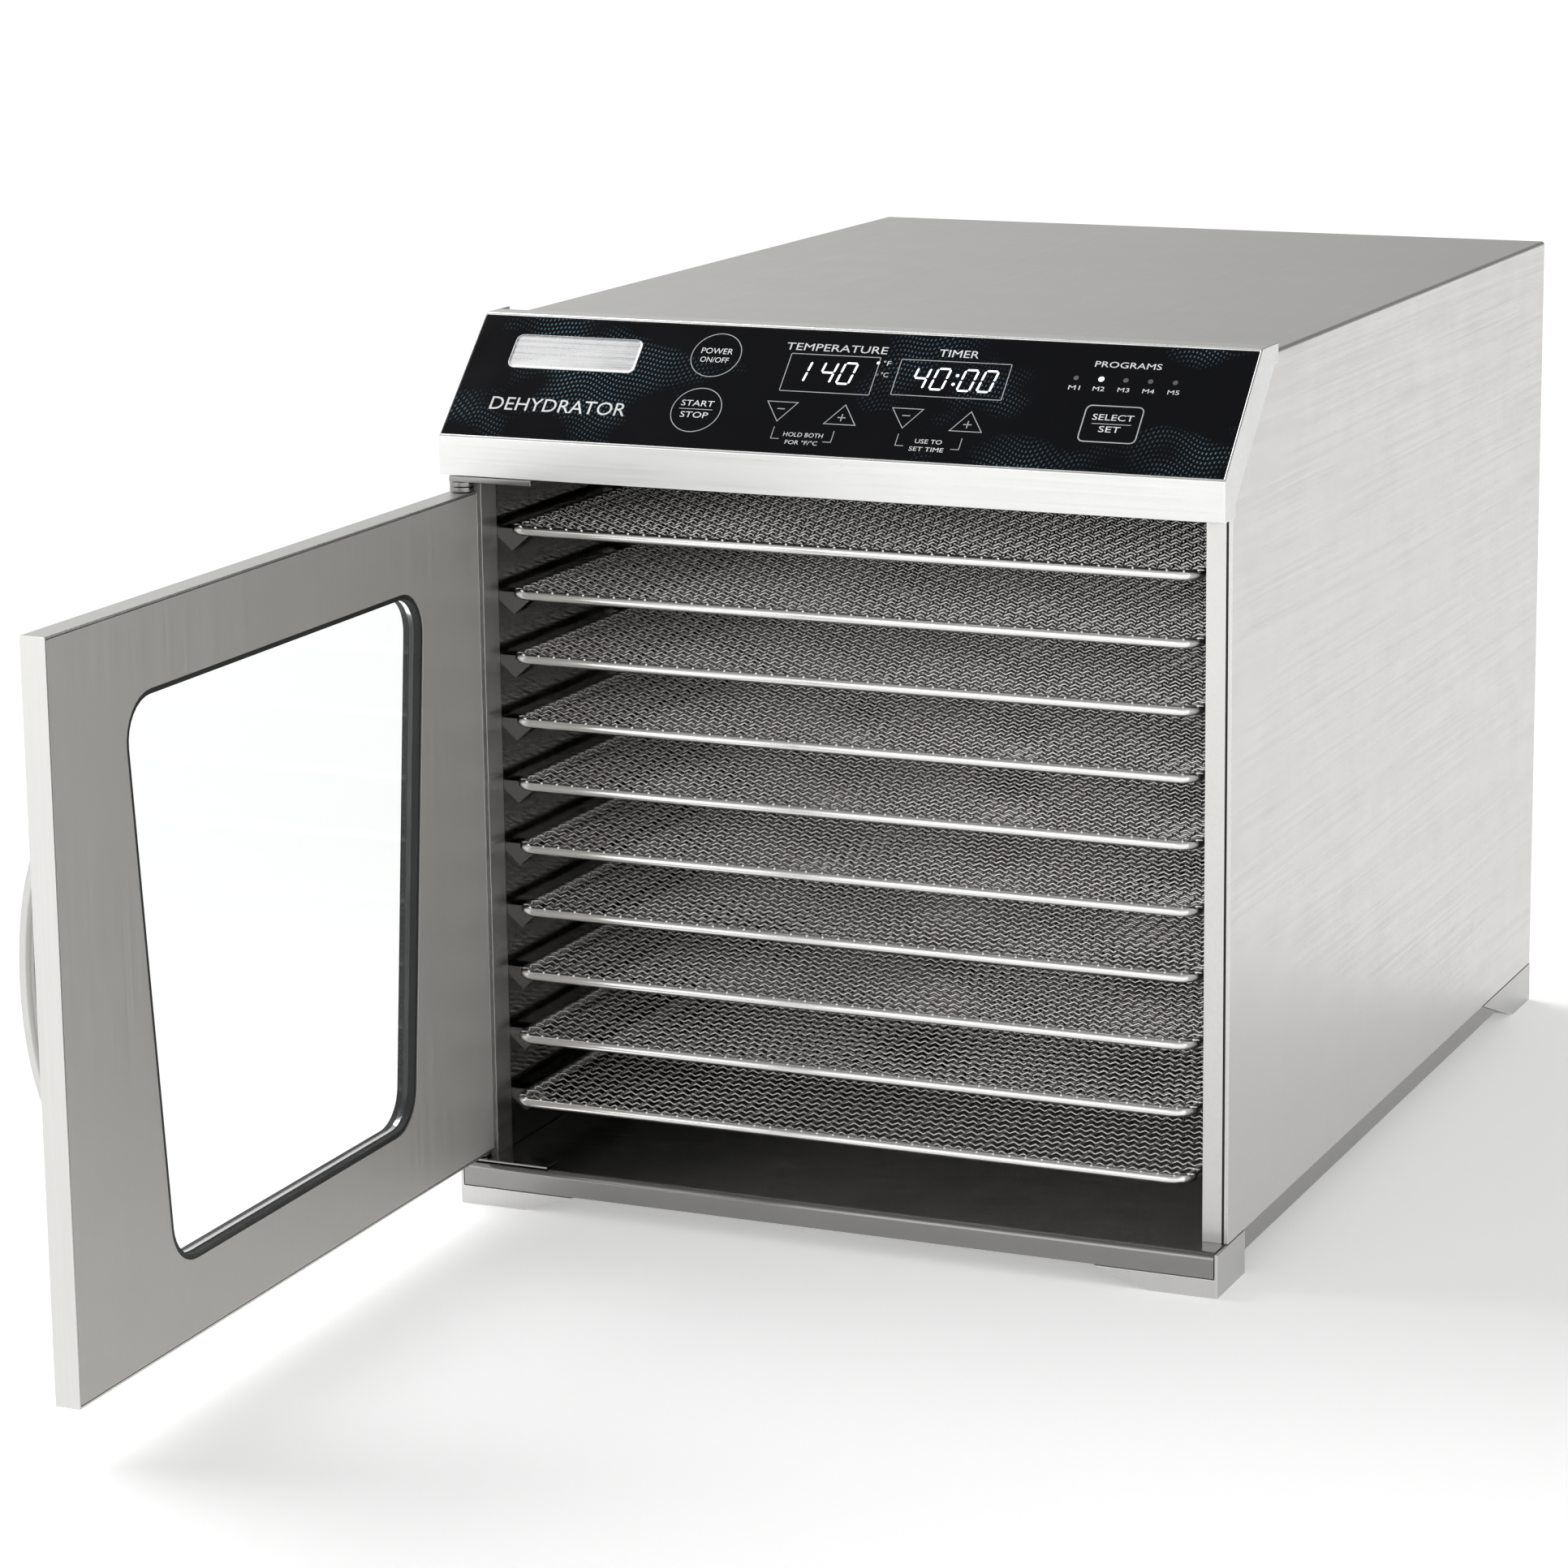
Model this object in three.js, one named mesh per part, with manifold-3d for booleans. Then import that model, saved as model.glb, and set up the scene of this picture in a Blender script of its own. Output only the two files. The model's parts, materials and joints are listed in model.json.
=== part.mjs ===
// Countertop food dehydrator: a sheet-steel cabinet with ten sliding wire trays, a hinged glazed door,
// a sloping touch panel in a hood over the opening, and a fan and heater behind the rear baffle.
// Millimetres. +X is to the right, +Y runs to the back, +Z is up. While the pieces are built, X = 0 is the
// middle of the cabinet, Y = 0 the hood's front face and Z = 0 the floor. At the end the whole model is
// moved so that its origin is the middle of the bottom of its bounding box.
import * as THREE from "three";
import { mergeVertices } from "three/addons/utils/BufferGeometryUtils.js";
import Module from "manifold-3d";

const wasm = await Module();
wasm.setup();

// ---------------------------------------------------------------- driving dimensions

const gap = 0.3; // between pieces that touch
const sheet = 0.9; // cabinet and door sheet
const heavySheet = 1.4; // feet and brackets

const cabinet = { width: 342.6, back: 477, top: 376.7, bendRadius: 1.6 };
const halfWidth = cabinet.width / 2;
const jamb = { front: 13.4, width: 10.9, returnDepth: 13.5 }; // folded front edges of the shell
const jambInner = halfWidth - jamb.width;
const seam = { fromSide: 1.7, width: 0.8, depth: 0.5 }; // joint line down each front edge

const base = { top: 19, depth: 10.6, rollRadius: 3 }; // pan under the cabinet
const foot = { bottomLength: 30, topLength: 85, shortLeg: 35 };

const hood = {
  aboveCabinet: 3.2,
  height: 62.8,
  fasciaHeight: 16.6,
  slopeRun: 45.3, // how far the slope goes back
  flangeDepth: 11.2, // top flange, behind the slope
  cheekTopDepth: 20,
  cheekDrop: 8,
  cheekThickness: 17, // measured square to the slope
  bottomFlange: 12.2,
  lip: 1.2, // bright edge above and below the glass
};
hood.top = cabinet.top + hood.aboveCabinet;
hood.bottom = hood.top - hood.height;
hood.fasciaTop = hood.bottom + hood.fasciaHeight;
const glassPanel = { thickness: 1.6 };
const display = {
  temperatureX: -7.2,
  temperatureWidth: 36,
  timerX: 46,
  timerWidth: 44,
  height: 15,
  thickness: 4,
  upSlope: 0.646, // its middle, as a share of the slope
};
const board = { thickness: 1.6, sideMargin: 21.3, endMargin: 10 };

const cavity = { aboveHoodEdge: 0.9, fanSpace: 77, bottomGap: 0.3 };
cavity.top = hood.bottom + cavity.aboveHoodEdge;
cavity.back = cabinet.back - cavity.fanSpace;
const header = { height: 13, returnDepth: 13.5 };

const tray = {
  count: 10,
  sideClearance: 5.2, // to the jambs and liners
  frontSetback: 8.6, // rod behind the jambs when the tray is pushed home
  rearClearance: 8,
  aboveBase: 23.9, // middle of the lowest rod
  belowCeiling: 27.1, // middle of the highest rod
  rod: 4.3,
  cornerRadius: 8,
  meshThickness: 0.8, // of a plain plate with about the weight of the wires
  meshRise: 1.2, // underside of the mesh above the middle of the rod
};
tray.halfWidth = jambInner - tray.sideClearance;
tray.front = jamb.front + tray.frontSetback;
tray.depth = cavity.back - tray.rearClearance - tray.front;
tray.topZ = cavity.top - tray.belowCeiling;
tray.pitch = (tray.topZ - base.top - tray.aboveBase) / (tray.count - 1);
const drawnOut = { 8: 2.5, 9: 5, 10: 8 }; // how far these trays stand forward
const lug = { count: 4, inset: 23, reach: 9.6, width: 9, height: 10, tip: 1.2 };

const door = {
  narrower: 8.6, // than the cabinet
  thickness: 10.35,
  aboveBase: 2.8,
  belowHood: 7.7,
  pinFromSide: 5.7, // pin to the cabinet's side
  pinFromEdge: 3.8, // pin to the door's hinge edge
  swingClearance: 0.22, // the door's corners to the jamb as it turns
  openAngle: 89.2, // degrees, as modelled
};
door.width = cabinet.width - door.narrower;
door.bottom = base.top + door.aboveBase;
door.top = hood.bottom - door.belowHood;
door.pivotX = door.pinFromSide - halfWidth;
door.pivotY = jamb.front - Math.hypot(door.pinFromEdge, door.thickness / 2) - door.swingClearance;
const windowOf = { topMargin: 32.1, bottomMargin: 30.7, sideAtTop: 49.6, sideAtBottom: 70, radius: 18 };
const pane = { thickness: 4, gasketWidth: 1.8, gasketInset: 0.4 };
const magnet = { width: 9, thickness: 4, height: 36 };

const handle = { length: 132, aboveMiddle: 5.9, setBack: 38, reach: 30, width: 9.5, thickness: 6 };
handle.centreZ = (door.bottom + door.top) / 2 + handle.aboveMiddle;
const screw = { radius: 3.4, height: 1.6 };
const hinge = {
  pinRadius: 2.3,
  pinClearance: 0.45,
  pinInDoor: 9,
  plateLength: 38,
  plateFront: 1,
  plateOverhang: 3, // past the pin, towards the side
  topPlate: 2.5,
  bottomPlate: 1,
  topWasher: 2,
  bottomWasher: 0.8,
  washerRadius: 5.2,
};

const fan = {
  bladeRadius: 64,
  hubRadius: 17,
  blades: 6,
  behindBaffle: 8,
  depth: 16,
  shaftRadius: 3,
  belowMiddle: 7, // under the middle of the cavity's height
};
fan.z = (base.top + cavity.top) / 2 - fan.belowMiddle;
fan.front = cavity.back + fan.behindBaffle;
fan.bladeThickness = 1.6;
fan.bladeChord = 30;
const motor = { radius: 34, behindFan: 8, depth: 28 };
motor.front = fan.front + fan.depth + motor.behindFan;
const heater = { radius: 84, tube: 3.3, behindBaffle: 12, legRadius: 2, legLength: 30 };
heater.y = cavity.back + heater.behindBaffle;
const bracket = { height: 26, clearOfHeater: 12 };
const guard = { rings: [18, 36, 54, 72], wire: 1.3, spokes: 4, spokeWidth: 1.8, spokeHeight: 2.4 };
const baffleHoleRadius = 65;
const vent = { width: 44, height: 3.6, pitch: 9 };
const baffleVent = { fromSide: 38.4, aboveBase: 41, belowCeiling: 48 };
const sensor = { radius: 2.5, length: 17, x: -100, belowCeiling: 19 };
const cutout = { radius: 8, depth: 9, fromSide: 36, belowCeiling: 36 };
const powerCard = { width: 90, height: 60, fromSide: 21, aboveBase: 11, behindBaffle: 4 };
const cover = { inset: 1, flange: 12, screwInset: 10, ventHalfHeight: 60 };
const gland = {
  fromSide: 46.3,
  aboveBase: 33,
  boreRadius: 3.8,
  bodyRadius: 7.5,
  flangeRadius: 12,
  flange: 3,
};

// ---------------------------------------------------------------- finishes

const finish = (color, roughness, metalness) =>
  new THREE.MeshStandardMaterial({ color, roughness, metalness });
const steels = {
  cabinet: finish(0xb4b1aa, 0.38, 0.85),
  hood: finish(0xeeeeec, 0.32, 0.8),
  feet: finish(0xd9d7d3, 0.4, 0.8),
  polished: finish(0xc9c7c2, 0.12, 1),
  liner: finish(0x77746f, 0.2, 0.95),
  door: finish(0xa5a19a, 0.4, 0.85),
  wire: finish(0xd8d6d2, 0.18, 1),
};
const others = {
  glassBlack: finish(0x05070b, 0.12, 0.1),
  glassClear: finish(0xdfe8e8, 0.05, 0),
  rubber: finish(0x191919, 0.7, 0),
  board: finish(0x1f4d2b, 0.6, 0),
  plastic: finish(0x151515, 0.5, 0),
  copper: finish(0x8a4b2a, 0.4, 0.9),
};

// ---------------------------------------------------------------- shape helpers

const root = new THREE.Group();

function add(parent, name, material, geometry) {
  const mesh = new THREE.Mesh(geometry, material);
  mesh.name = name;
  parent.add(mesh);
  return mesh;
}

// A closed geometry as a manifold-3d solid.
function solidOf(geometry) {
  const plain = geometry.index ? geometry.toNonIndexed() : geometry.clone();
  plain.deleteAttribute("normal");
  plain.deleteAttribute("uv");
  const merged = mergeVertices(plain, 1e-4);
  return new wasm.Manifold(
    new wasm.Mesh({
      numProp: 3,
      vertProperties: merged.attributes.position.array,
      triVerts: new Uint32Array(merged.index.array),
    }),
  );
}

function geometryOf(solid) {
  const mesh = solid.getMesh();
  const geometry = new THREE.BufferGeometry();
  geometry.setAttribute("position", new THREE.BufferAttribute(mesh.vertProperties, mesh.numProp));
  geometry.setIndex(new THREE.BufferAttribute(mesh.triVerts, 1));
  return geometry;
}

function join(...geometries) {
  return geometryOf(geometries.map(solidOf).reduce((a, b) => a.add(b)));
}

function cut(geometry, ...cutters) {
  return geometryOf(cutters.map(solidOf).reduce((a, b) => a.subtract(b), solidOf(geometry)));
}

// A block between two opposite corners, given in any order.
function block(x0, x1, y0, y1, z0, z1) {
  const size = [Math.abs(x1 - x0), Math.abs(y1 - y0), Math.abs(z1 - z0)];
  return new THREE.BoxGeometry(...size).translate((x0 + x1) / 2, (y0 + y1) / 2, (z0 + z1) / 2);
}

const axes = { x: [1, 0, 0], y: [0, 1, 0], z: [0, 0, 1], minusY: [0, -1, 0] };
const basis = (...names) => new THREE.Matrix4().makeBasis(...names.map((n) => new THREE.Vector3(...axes[n])));

// An outline is a shape or a list of points.
function extrude(outline, depth, curveSegments = 4) {
  const points = (list) => list.map((point) => new THREE.Vector2(...point));
  const shape = outline instanceof THREE.Shape ? outline : new THREE.Shape(points(outline));
  return new THREE.ExtrudeGeometry(shape, { depth, bevelEnabled: false, curveSegments });
}

// An outline of [y, z] points drawn out along X.
function prismX(outline, x0, x1) {
  const prism = extrude(outline, Math.abs(x1 - x0)).applyMatrix4(basis("y", "z", "x"));
  return prism.translate(Math.min(x0, x1), 0, 0);
}

// An outline of [x, z] points drawn out along Y.
function prismY(outline, y0, y1) {
  const prism = extrude(outline, Math.abs(y1 - y0)).applyMatrix4(basis("x", "z", "minusY"));
  return prism.translate(0, Math.max(y0, y1), 0);
}

// A round bar along Y or Z.
function barY(radius, x, z, y0, y1, sides = 24) {
  return new THREE.CylinderGeometry(radius, radius, y1 - y0, sides).translate(x, (y0 + y1) / 2, z);
}

function barZ(radius, x, y, z0, z1, sides = 24) {
  const bar = new THREE.CylinderGeometry(radius, radius, z1 - z0, sides).rotateX(Math.PI / 2);
  return bar.translate(x, y, (z0 + z1) / 2);
}

// A closed outline through the corners, each rounded to the radius. The corners run anticlockwise.
function roundedShape(corners, radius) {
  const shape = new THREE.Shape();
  const count = corners.length;
  corners.forEach((corner, i) => {
    const here = new THREE.Vector2(...corner);
    const toPrevious = new THREE.Vector2(...corners[(i + count - 1) % count]).sub(here).normalize();
    const toNext = new THREE.Vector2(...corners[(i + 1) % count]).sub(here).normalize();
    const half = Math.acos(toPrevious.dot(toNext)) / 2;
    const middle = toPrevious.clone().add(toNext).normalize();
    const centre = here.clone().addScaledVector(middle, radius / Math.sin(half));
    const start = here.clone().addScaledVector(toPrevious, radius / Math.tan(half)).sub(centre);
    const end = here.clone().addScaledVector(toNext, radius / Math.tan(half)).sub(centre);
    shape.absarc(centre.x, centre.y, radius, start.angle(), end.angle(), false);
  });
  return shape;
}

const rectangle = (x0, x1, y0, y1) => [[x0, y0], [x1, y0], [x1, y1], [x0, y1]];

// ---------------------------------------------------------------- outer shell

// The slope of the control panel: "along" runs up it, "inward" is square to it, into the hood.
const slopeAngle = Math.atan2(hood.top - hood.fasciaTop, hood.slopeRun);
const slopeLength = Math.hypot(hood.top - hood.fasciaTop, hood.slopeRun);
const along = [Math.cos(slopeAngle), Math.sin(slopeAngle)];
const inward = [Math.sin(slopeAngle), -Math.cos(slopeAngle)];
const onSlope = (distance, depth) => [
  distance * along[0] + depth * inward[0],
  hood.fasciaTop + distance * along[1] + depth * inward[1],
];
// Where a line parallel to the slope, at a depth below it, reaches a height or a distance back.
function slopeAtHeight(z, depth) {
  const [startY, startZ] = onSlope(0, depth);
  return [startY + (z - startZ) / Math.tan(slopeAngle), z];
}
function slopeAtY(y, depth) {
  const [startY, startZ] = onSlope(0, depth);
  return [y, startZ + (y - startY) * Math.tan(slopeAngle)];
}

function outerShell() {
  const { top, back, bendRadius } = cabinet;
  const outside = roundedShape(rectangle(-halfWidth, halfWidth, base.top - 20, top), bendRadius);
  const inside = rectangle(-halfWidth + sheet, halfWidth - sheet, base.top - 30, top - sheet);
  const wrapper = cut(prismY(outside, jamb.front, back), prismY(inside, jamb.front - 1, back + 1));
  const height = [base.top, top - sheet / 2];
  const flanges = [-1, 1].flatMap((side) => [
    block(side * jambInner, side * (halfWidth - sheet / 2), jamb.front, jamb.front + sheet, ...height),
    block(side * jambInner, side * (jambInner + sheet), jamb.front, jamb.front + jamb.returnDepth, ...height),
  ]);
  const clearance = 6; // below the sloping panel
  const wedge = [
    slopeAtY(jamb.front - 20, clearance),
    slopeAtHeight(top + 20, clearance),
    [jamb.front - 20, top + 20],
  ];
  const belowPan = block(-halfWidth - 1, halfWidth + 1, jamb.front - 1, back + 1, base.top - 40, base.top);
  const seams = [-1, 1].map((side) => {
    const x = side * (halfWidth - seam.fromSide - seam.width / 2);
    const y = [jamb.front - 1, jamb.front + seam.depth];
    return block(x - seam.width / 2, x + seam.width / 2, ...y, base.top - 1, hood.top);
  });
  return cut(join(wrapper, ...flanges), prismX(wedge, -halfWidth - 1, halfWidth + 1), belowPan, ...seams);
}
add(root, "outer_shell", steels.cabinet, outerShell());

// ---------------------------------------------------------------- base pan and feet

const footOuter = halfWidth + gap;
const footInner = footOuter - heavySheet;
const panHalf = footInner - gap;
const panBack = cabinet.back - heavySheet - gap;
const panBottom = base.top - base.depth;

function basePan() {
  const corners = rectangle(0, panBack, panBottom - 10, base.top);
  const outside = prismX(roundedShape(corners, base.rollRadius), -panHalf, panHalf);
  const inside = rectangle(sheet, panBack - sheet, panBottom - 20, base.top - sheet);
  const hollow = prismX(roundedShape(inside, base.rollRadius - sheet), -panHalf + sheet, panHalf - sheet);
  const below = block(-panHalf - 1, panHalf + 1, -1, panBack + 1, panBottom - 30, panBottom);
  return cut(outside, hollow, below);
}
add(root, "base_pan", steels.polished, basePan());

// Each foot is a folded corner with a sole. One leg has a slanted end, the other a square one.
function footAt(side, atBack) {
  const top = base.top - gap;
  const underPan = panBottom - gap;
  const face = atBack ? cabinet.back : 0; // front or rear plane
  const inwards = atBack ? -1 : 1;
  const slant = (foot.topLength - foot.bottomLength) / base.top; // run per unit of height
  const wide = (height) => foot.bottomLength + slant * height;
  const sideLeg = atBack
    ? [[face, 0], [face, top], [face - wide(top), top], [face - foot.bottomLength, 0]]
    : [[face, 0], [face + foot.shortLeg, 0], [face + foot.shortLeg, top], [face, top]];
  const crossEnd = atBack ? () => foot.shortLeg : wide;
  const crossLeg = [
    [side * footOuter, 0],
    [side * (footOuter - crossEnd(0)), 0],
    [side * (footOuter - crossEnd(underPan)), underPan],
    [side * footOuter, underPan],
  ];
  if (side > 0) crossLeg.reverse();
  const soleX = [side * footOuter, side * (footOuter - foot.bottomLength)];
  const soleDepth = atBack ? foot.bottomLength : foot.shortLeg;
  return join(
    prismX(atBack ? sideLeg.reverse() : sideLeg, side * footInner, side * footOuter),
    prismY(crossLeg, face, face + inwards * heavySheet),
    block(...soleX, face, face + inwards * soleDepth, 0, heavySheet),
  );
}
add(root, "foot_front_left", steels.feet, footAt(-1, false));
add(root, "foot_front_right", steels.feet, footAt(1, false));
add(root, "foot_rear_left", steels.feet, footAt(-1, true));
add(root, "foot_rear_right", steels.feet, footAt(1, true));

// ---------------------------------------------------------------- control hood

const hoodInner = halfWidth + gap; // inner face of the cheeks
const hoodOuter = hoodInner + sheet;
const glassSeat = glassPanel.thickness + 2 * gap; // how far the glass is let in

// The hood's outline from the side, which its two cheeks keep.
function hoodOutline() {
  const { bottom, fasciaTop, top, slopeRun, cheekThickness } = hood;
  const cheekBack = slopeRun + hood.cheekTopDepth;
  const dropZ = top - hood.cheekDrop;
  return [
    [0, bottom],
    [jamb.front, bottom],
    slopeAtY(jamb.front, cheekThickness),
    slopeAtHeight(dropZ, cheekThickness),
    [cheekBack, dropZ],
    [cheekBack, top],
    [slopeRun, top],
    [0, fasciaTop],
  ];
}

// What is taken out between the cheeks: it leaves the front, the glass seat and two folded flanges.
function hoodInside() {
  const { bottom, top, bottomFlange } = hood;
  const flangeBack = hood.slopeRun + hood.flangeDepth;
  const flangeFoot = cabinet.top + gap;
  const under = glassSeat + sheet;
  const clear = 5; // past the outline
  const back = hood.slopeRun + hood.cheekTopDepth + clear;
  return [
    [sheet, bottom + sheet],
    [bottomFlange, bottom + sheet],
    [bottomFlange, bottom - clear],
    [back, bottom - clear],
    [back, top + clear],
    [flangeBack, top + clear],
    [flangeBack, flangeFoot],
    [flangeBack - sheet, flangeFoot],
    [flangeBack - sheet, top - sheet],
    slopeAtHeight(top - sheet, under),
    slopeAtY(sheet, under),
  ];
}

// A block on the slope: across, up the slope from its foot, and down into the hood.
function slopeBlock(x0, x1, from, to, depth0, depth1) {
  const outline = [onSlope(from, depth1), onSlope(to, depth1), onSlope(to, depth0), onSlope(from, depth0)];
  return prismX(outline, x0, x1);
}

const displayMiddle = slopeLength * display.upSlope;
const displaySpan = [displayMiddle - display.height / 2, displayMiddle + display.height / 2];

const displays = [
  ["display_temperature", display.temperatureX, display.temperatureWidth / 2],
  ["display_timer", display.timerX, display.timerWidth / 2],
];

function displayWindow(x, half, clearance) {
  const reach = half + clearance;
  return slopeBlock(x - reach, x + reach, displaySpan[0] - clearance, displaySpan[1] + clearance, 0, 20);
}
const hoodBody = cut(
  prismX(hoodOutline(), -hoodOuter, hoodOuter),
  prismX(hoodInside(), -hoodInner, hoodInner),
  slopeBlock(-hoodInner, hoodInner, hood.lip, slopeLength - hood.lip, -5, glassSeat),
  ...displays.map(([, x, half]) => displayWindow(x, half, 1)),
);
add(root, "control_hood", steels.hood, hoodBody);

const glassHalf = hoodInner - gap;
const glassDepth = [gap, gap + glassPanel.thickness];
const glassEnds = [hood.lip + gap, slopeLength - hood.lip - gap];
add(root, "control_glass", others.glassBlack, slopeBlock(-glassHalf, glassHalf, ...glassEnds, ...glassDepth));

const displayDepth = [glassSeat + gap, glassSeat + gap + display.thickness];
for (const [name, x, half] of displays) {
  add(root, name, others.plastic, slopeBlock(x - half, x + half, ...displaySpan, ...displayDepth));
}
const boardDepth = [displayDepth[1] + gap, displayDepth[1] + gap + board.thickness];
const boardHalf = halfWidth - board.sideMargin;
const boardEnds = [board.endMargin, slopeLength - board.endMargin];
add(root, "control_board", others.board, slopeBlock(-boardHalf, boardHalf, ...boardEnds, ...boardDepth));

// ---------------------------------------------------------------- cavity: header, liners, baffle

const linerFront = jamb.front + jamb.returnDepth + gap;
const linerBottom = base.top + cavity.bottomGap;
const linerBack = cavity.back - gap;

const headerOutline = [
  [jamb.front, cavity.top],
  [jamb.front + header.returnDepth, cavity.top],
  [jamb.front + header.returnDepth, cavity.top + sheet],
  [jamb.front + sheet, cavity.top + sheet],
  [jamb.front + sheet, cavity.top + header.height],
  [jamb.front, cavity.top + header.height],
];
add(root, "header_rail", steels.liner, prismX(headerOutline, -jambInner + gap, jambInner - gap));
const ceilingHalf = jambInner - gap;
const ceiling = block(-ceilingHalf, ceilingHalf, linerFront, linerBack, cavity.top, cavity.top + sheet);
add(root, "liner_top", steels.liner, ceiling);

const trayZ = (number) => tray.topZ - (number - 1) * tray.pitch;
const trayNumbers = Array.from({ length: tray.count }, (_, i) => i + 1);

// A side liner with its punched lugs: each is a tapering gusset with a flat top that carries a tray's rod.
function sideLiner(side) {
  const plateX = [side * jambInner, side * (jambInner + sheet)];
  const plate = block(...plateX, linerFront, linerBack, linerBottom, cavity.top + sheet);
  const lugs = trayNumbers.flatMap((number) =>
    Array.from({ length: lug.count }, (_, i) => {
      const y = tray.front + lug.inset + ((tray.depth - 2 * lug.inset) * i) / (lug.count - 1);
      const top = trayZ(number) - tray.rod / 2 - gap;
      const wall = jambInner + sheet / 2;
      const outline = [
        [side * wall, top],
        [side * wall, top - lug.height],
        [side * (jambInner - lug.reach + 1), top - lug.tip - 1],
        [side * (jambInner - lug.reach), top - lug.tip],
        [side * (jambInner - lug.reach), top],
      ];
      return prismY(side < 0 ? outline : outline.reverse(), y - lug.width / 2, y + lug.width / 2);
    }),
  );
  return join(plate, ...lugs);
}
add(root, "liner_left", steels.liner, sideLiner(-1));
add(root, "liner_right", steels.liner, sideLiner(1));

// Rows of level slots, centred on x, from one height to another.
function ventRows(x, from, to, y) {
  const rows = Math.floor((to - from) / vent.pitch);
  return Array.from({ length: rows }, (_, i) => {
    const z = from + (i + 0.5) * vent.pitch;
    return block(x - vent.width / 2, x + vent.width / 2, y - 5, y + 5, z, z + vent.height);
  });
}

const baffleHalf = jambInner + sheet;
const baffleZ = [linerBottom, cavity.top + sheet];
const bafflePlate = block(-baffleHalf, baffleHalf, cavity.back, cavity.back + sheet, ...baffleZ);
const baffleCuts = [barY(baffleHoleRadius, 0, fan.z, cavity.back - 5, cavity.back + 5, 40)];
const baffleVents = [base.top + baffleVent.aboveBase, cavity.top - baffleVent.belowCeiling];
for (const side of [-1, 1]) {
  baffleCuts.push(...ventRows(side * (jambInner - baffleVent.fromSide), ...baffleVents, cavity.back));
}
add(root, "rear_baffle", steels.liner, cut(bafflePlate, ...baffleCuts));

function fanGuard() {
  const y = cavity.back - gap - guard.wire;
  const rings = guard.rings.map((radius) =>
    new THREE.TorusGeometry(radius, guard.wire, 6, 28).rotateX(Math.PI / 2).translate(0, y, fan.z),
  );
  const reach = guard.rings.at(-1);
  const half = [guard.spokeWidth / 2, guard.spokeHeight / 2];
  const spokes = Array.from({ length: guard.spokes }, (_, i) =>
    block(-reach, reach, -half[0], half[0], -half[1], half[1])
      .rotateY((i * Math.PI) / guard.spokes)
      .translate(0, y, fan.z),
  );
  return join(...rings, ...spokes);
}
add(root, "fan_guard", steels.wire, fanGuard());

// ---------------------------------------------------------------- fan, heater and controls behind the baffle

const behindBaffle = cavity.back + sheet + gap;
const motorBack = motor.front + motor.depth;

// A U-shaped strap from the baffle round the back of the motor.
function motorBracket() {
  const half = heater.radius + heater.tube + bracket.clearOfHeater;
  const back = motorBack + gap;
  const z = [fan.z - bracket.height / 2, fan.z + bracket.height / 2];
  const body = block(-half, half, behindBaffle, back + heavySheet, ...z);
  const inside = block(-half + heavySheet, half - heavySheet, behindBaffle - 1, back, z[0] - 1, z[1] + 1);
  return cut(body, inside);
}
add(root, "motor_bracket", steels.feet, motorBracket());
add(root, "fan_motor", others.plastic, barY(motor.radius, 0, fan.z, motor.front, motorBack, 32));

const heaterRing = new THREE.TorusGeometry(heater.radius, heater.tube, 8, 36).rotateX(Math.PI / 2);
const heaterLegs = [-1, 1].map((side) =>
  barY(heater.legRadius, side * 8, fan.z + heater.radius, heater.y, heater.y + heater.legLength, 10),
);
add(root, "heating_element", others.copper, join(heaterRing.translate(0, heater.y, fan.z), ...heaterLegs));

const sensorZ = cavity.top - sensor.belowCeiling;
const probe = barY(sensor.radius, sensor.x, sensorZ, linerBack - sensor.length, linerBack, 14);
add(root, "temperature_sensor", steels.wire, probe);
const cutoutX = cutout.fromSide - halfWidth;
const cutoutZ = cavity.top - cutout.belowCeiling;
const cutoutDisc = barY(cutout.radius, cutoutX, cutoutZ, behindBaffle, behindBaffle + cutout.depth, 20);
add(root, "thermal_cutout", others.plastic, cutoutDisc);
const cardX = halfWidth - powerCard.fromSide;
const cardY = behindBaffle + powerCard.behindBaffle;
const cardZ = base.top + powerCard.aboveBase;
const cardTop = cardZ + powerCard.height;
const card = block(cardX - powerCard.width, cardX, cardY, cardY + board.thickness, cardZ, cardTop);
add(root, "power_board", others.board, card);

const fanBody = new THREE.Group();
fanBody.position.set(0, fan.front, fan.z);
root.add(fanBody);

function fanWheel() {
  const hub = barY(fan.hubRadius, 0, 0, 0, fan.depth);
  const length = fan.bladeRadius - fan.hubRadius + 3;
  const blades = Array.from({ length: fan.blades }, (_, i) => {
    const blade = new THREE.BoxGeometry(length, fan.bladeThickness, fan.bladeChord).rotateX(Math.PI / 5.5);
    blade.translate(fan.bladeRadius - length / 2, fan.depth / 2, 0);
    return blade.rotateY((2 * Math.PI * i) / fan.blades);
  });
  return join(hub, ...blades);
}
add(fanBody, "fan_blade", others.plastic, fanWheel());
const shaftEnds = [fan.depth + gap, motor.front - gap - fan.front];
add(fanBody, "fan_shaft", steels.wire, barY(fan.shaftRadius, 0, 0, ...shaftEnds, 14));

// ---------------------------------------------------------------- rear cover and cord gland

const coverHalf = halfWidth - sheet - gap;
const coverTop = cabinet.top - sheet - gap;
const coverBack = cabinet.back - cover.inset;
const glandX = gland.fromSide - halfWidth;
const glandZ = base.top + gland.aboveBase;

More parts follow.
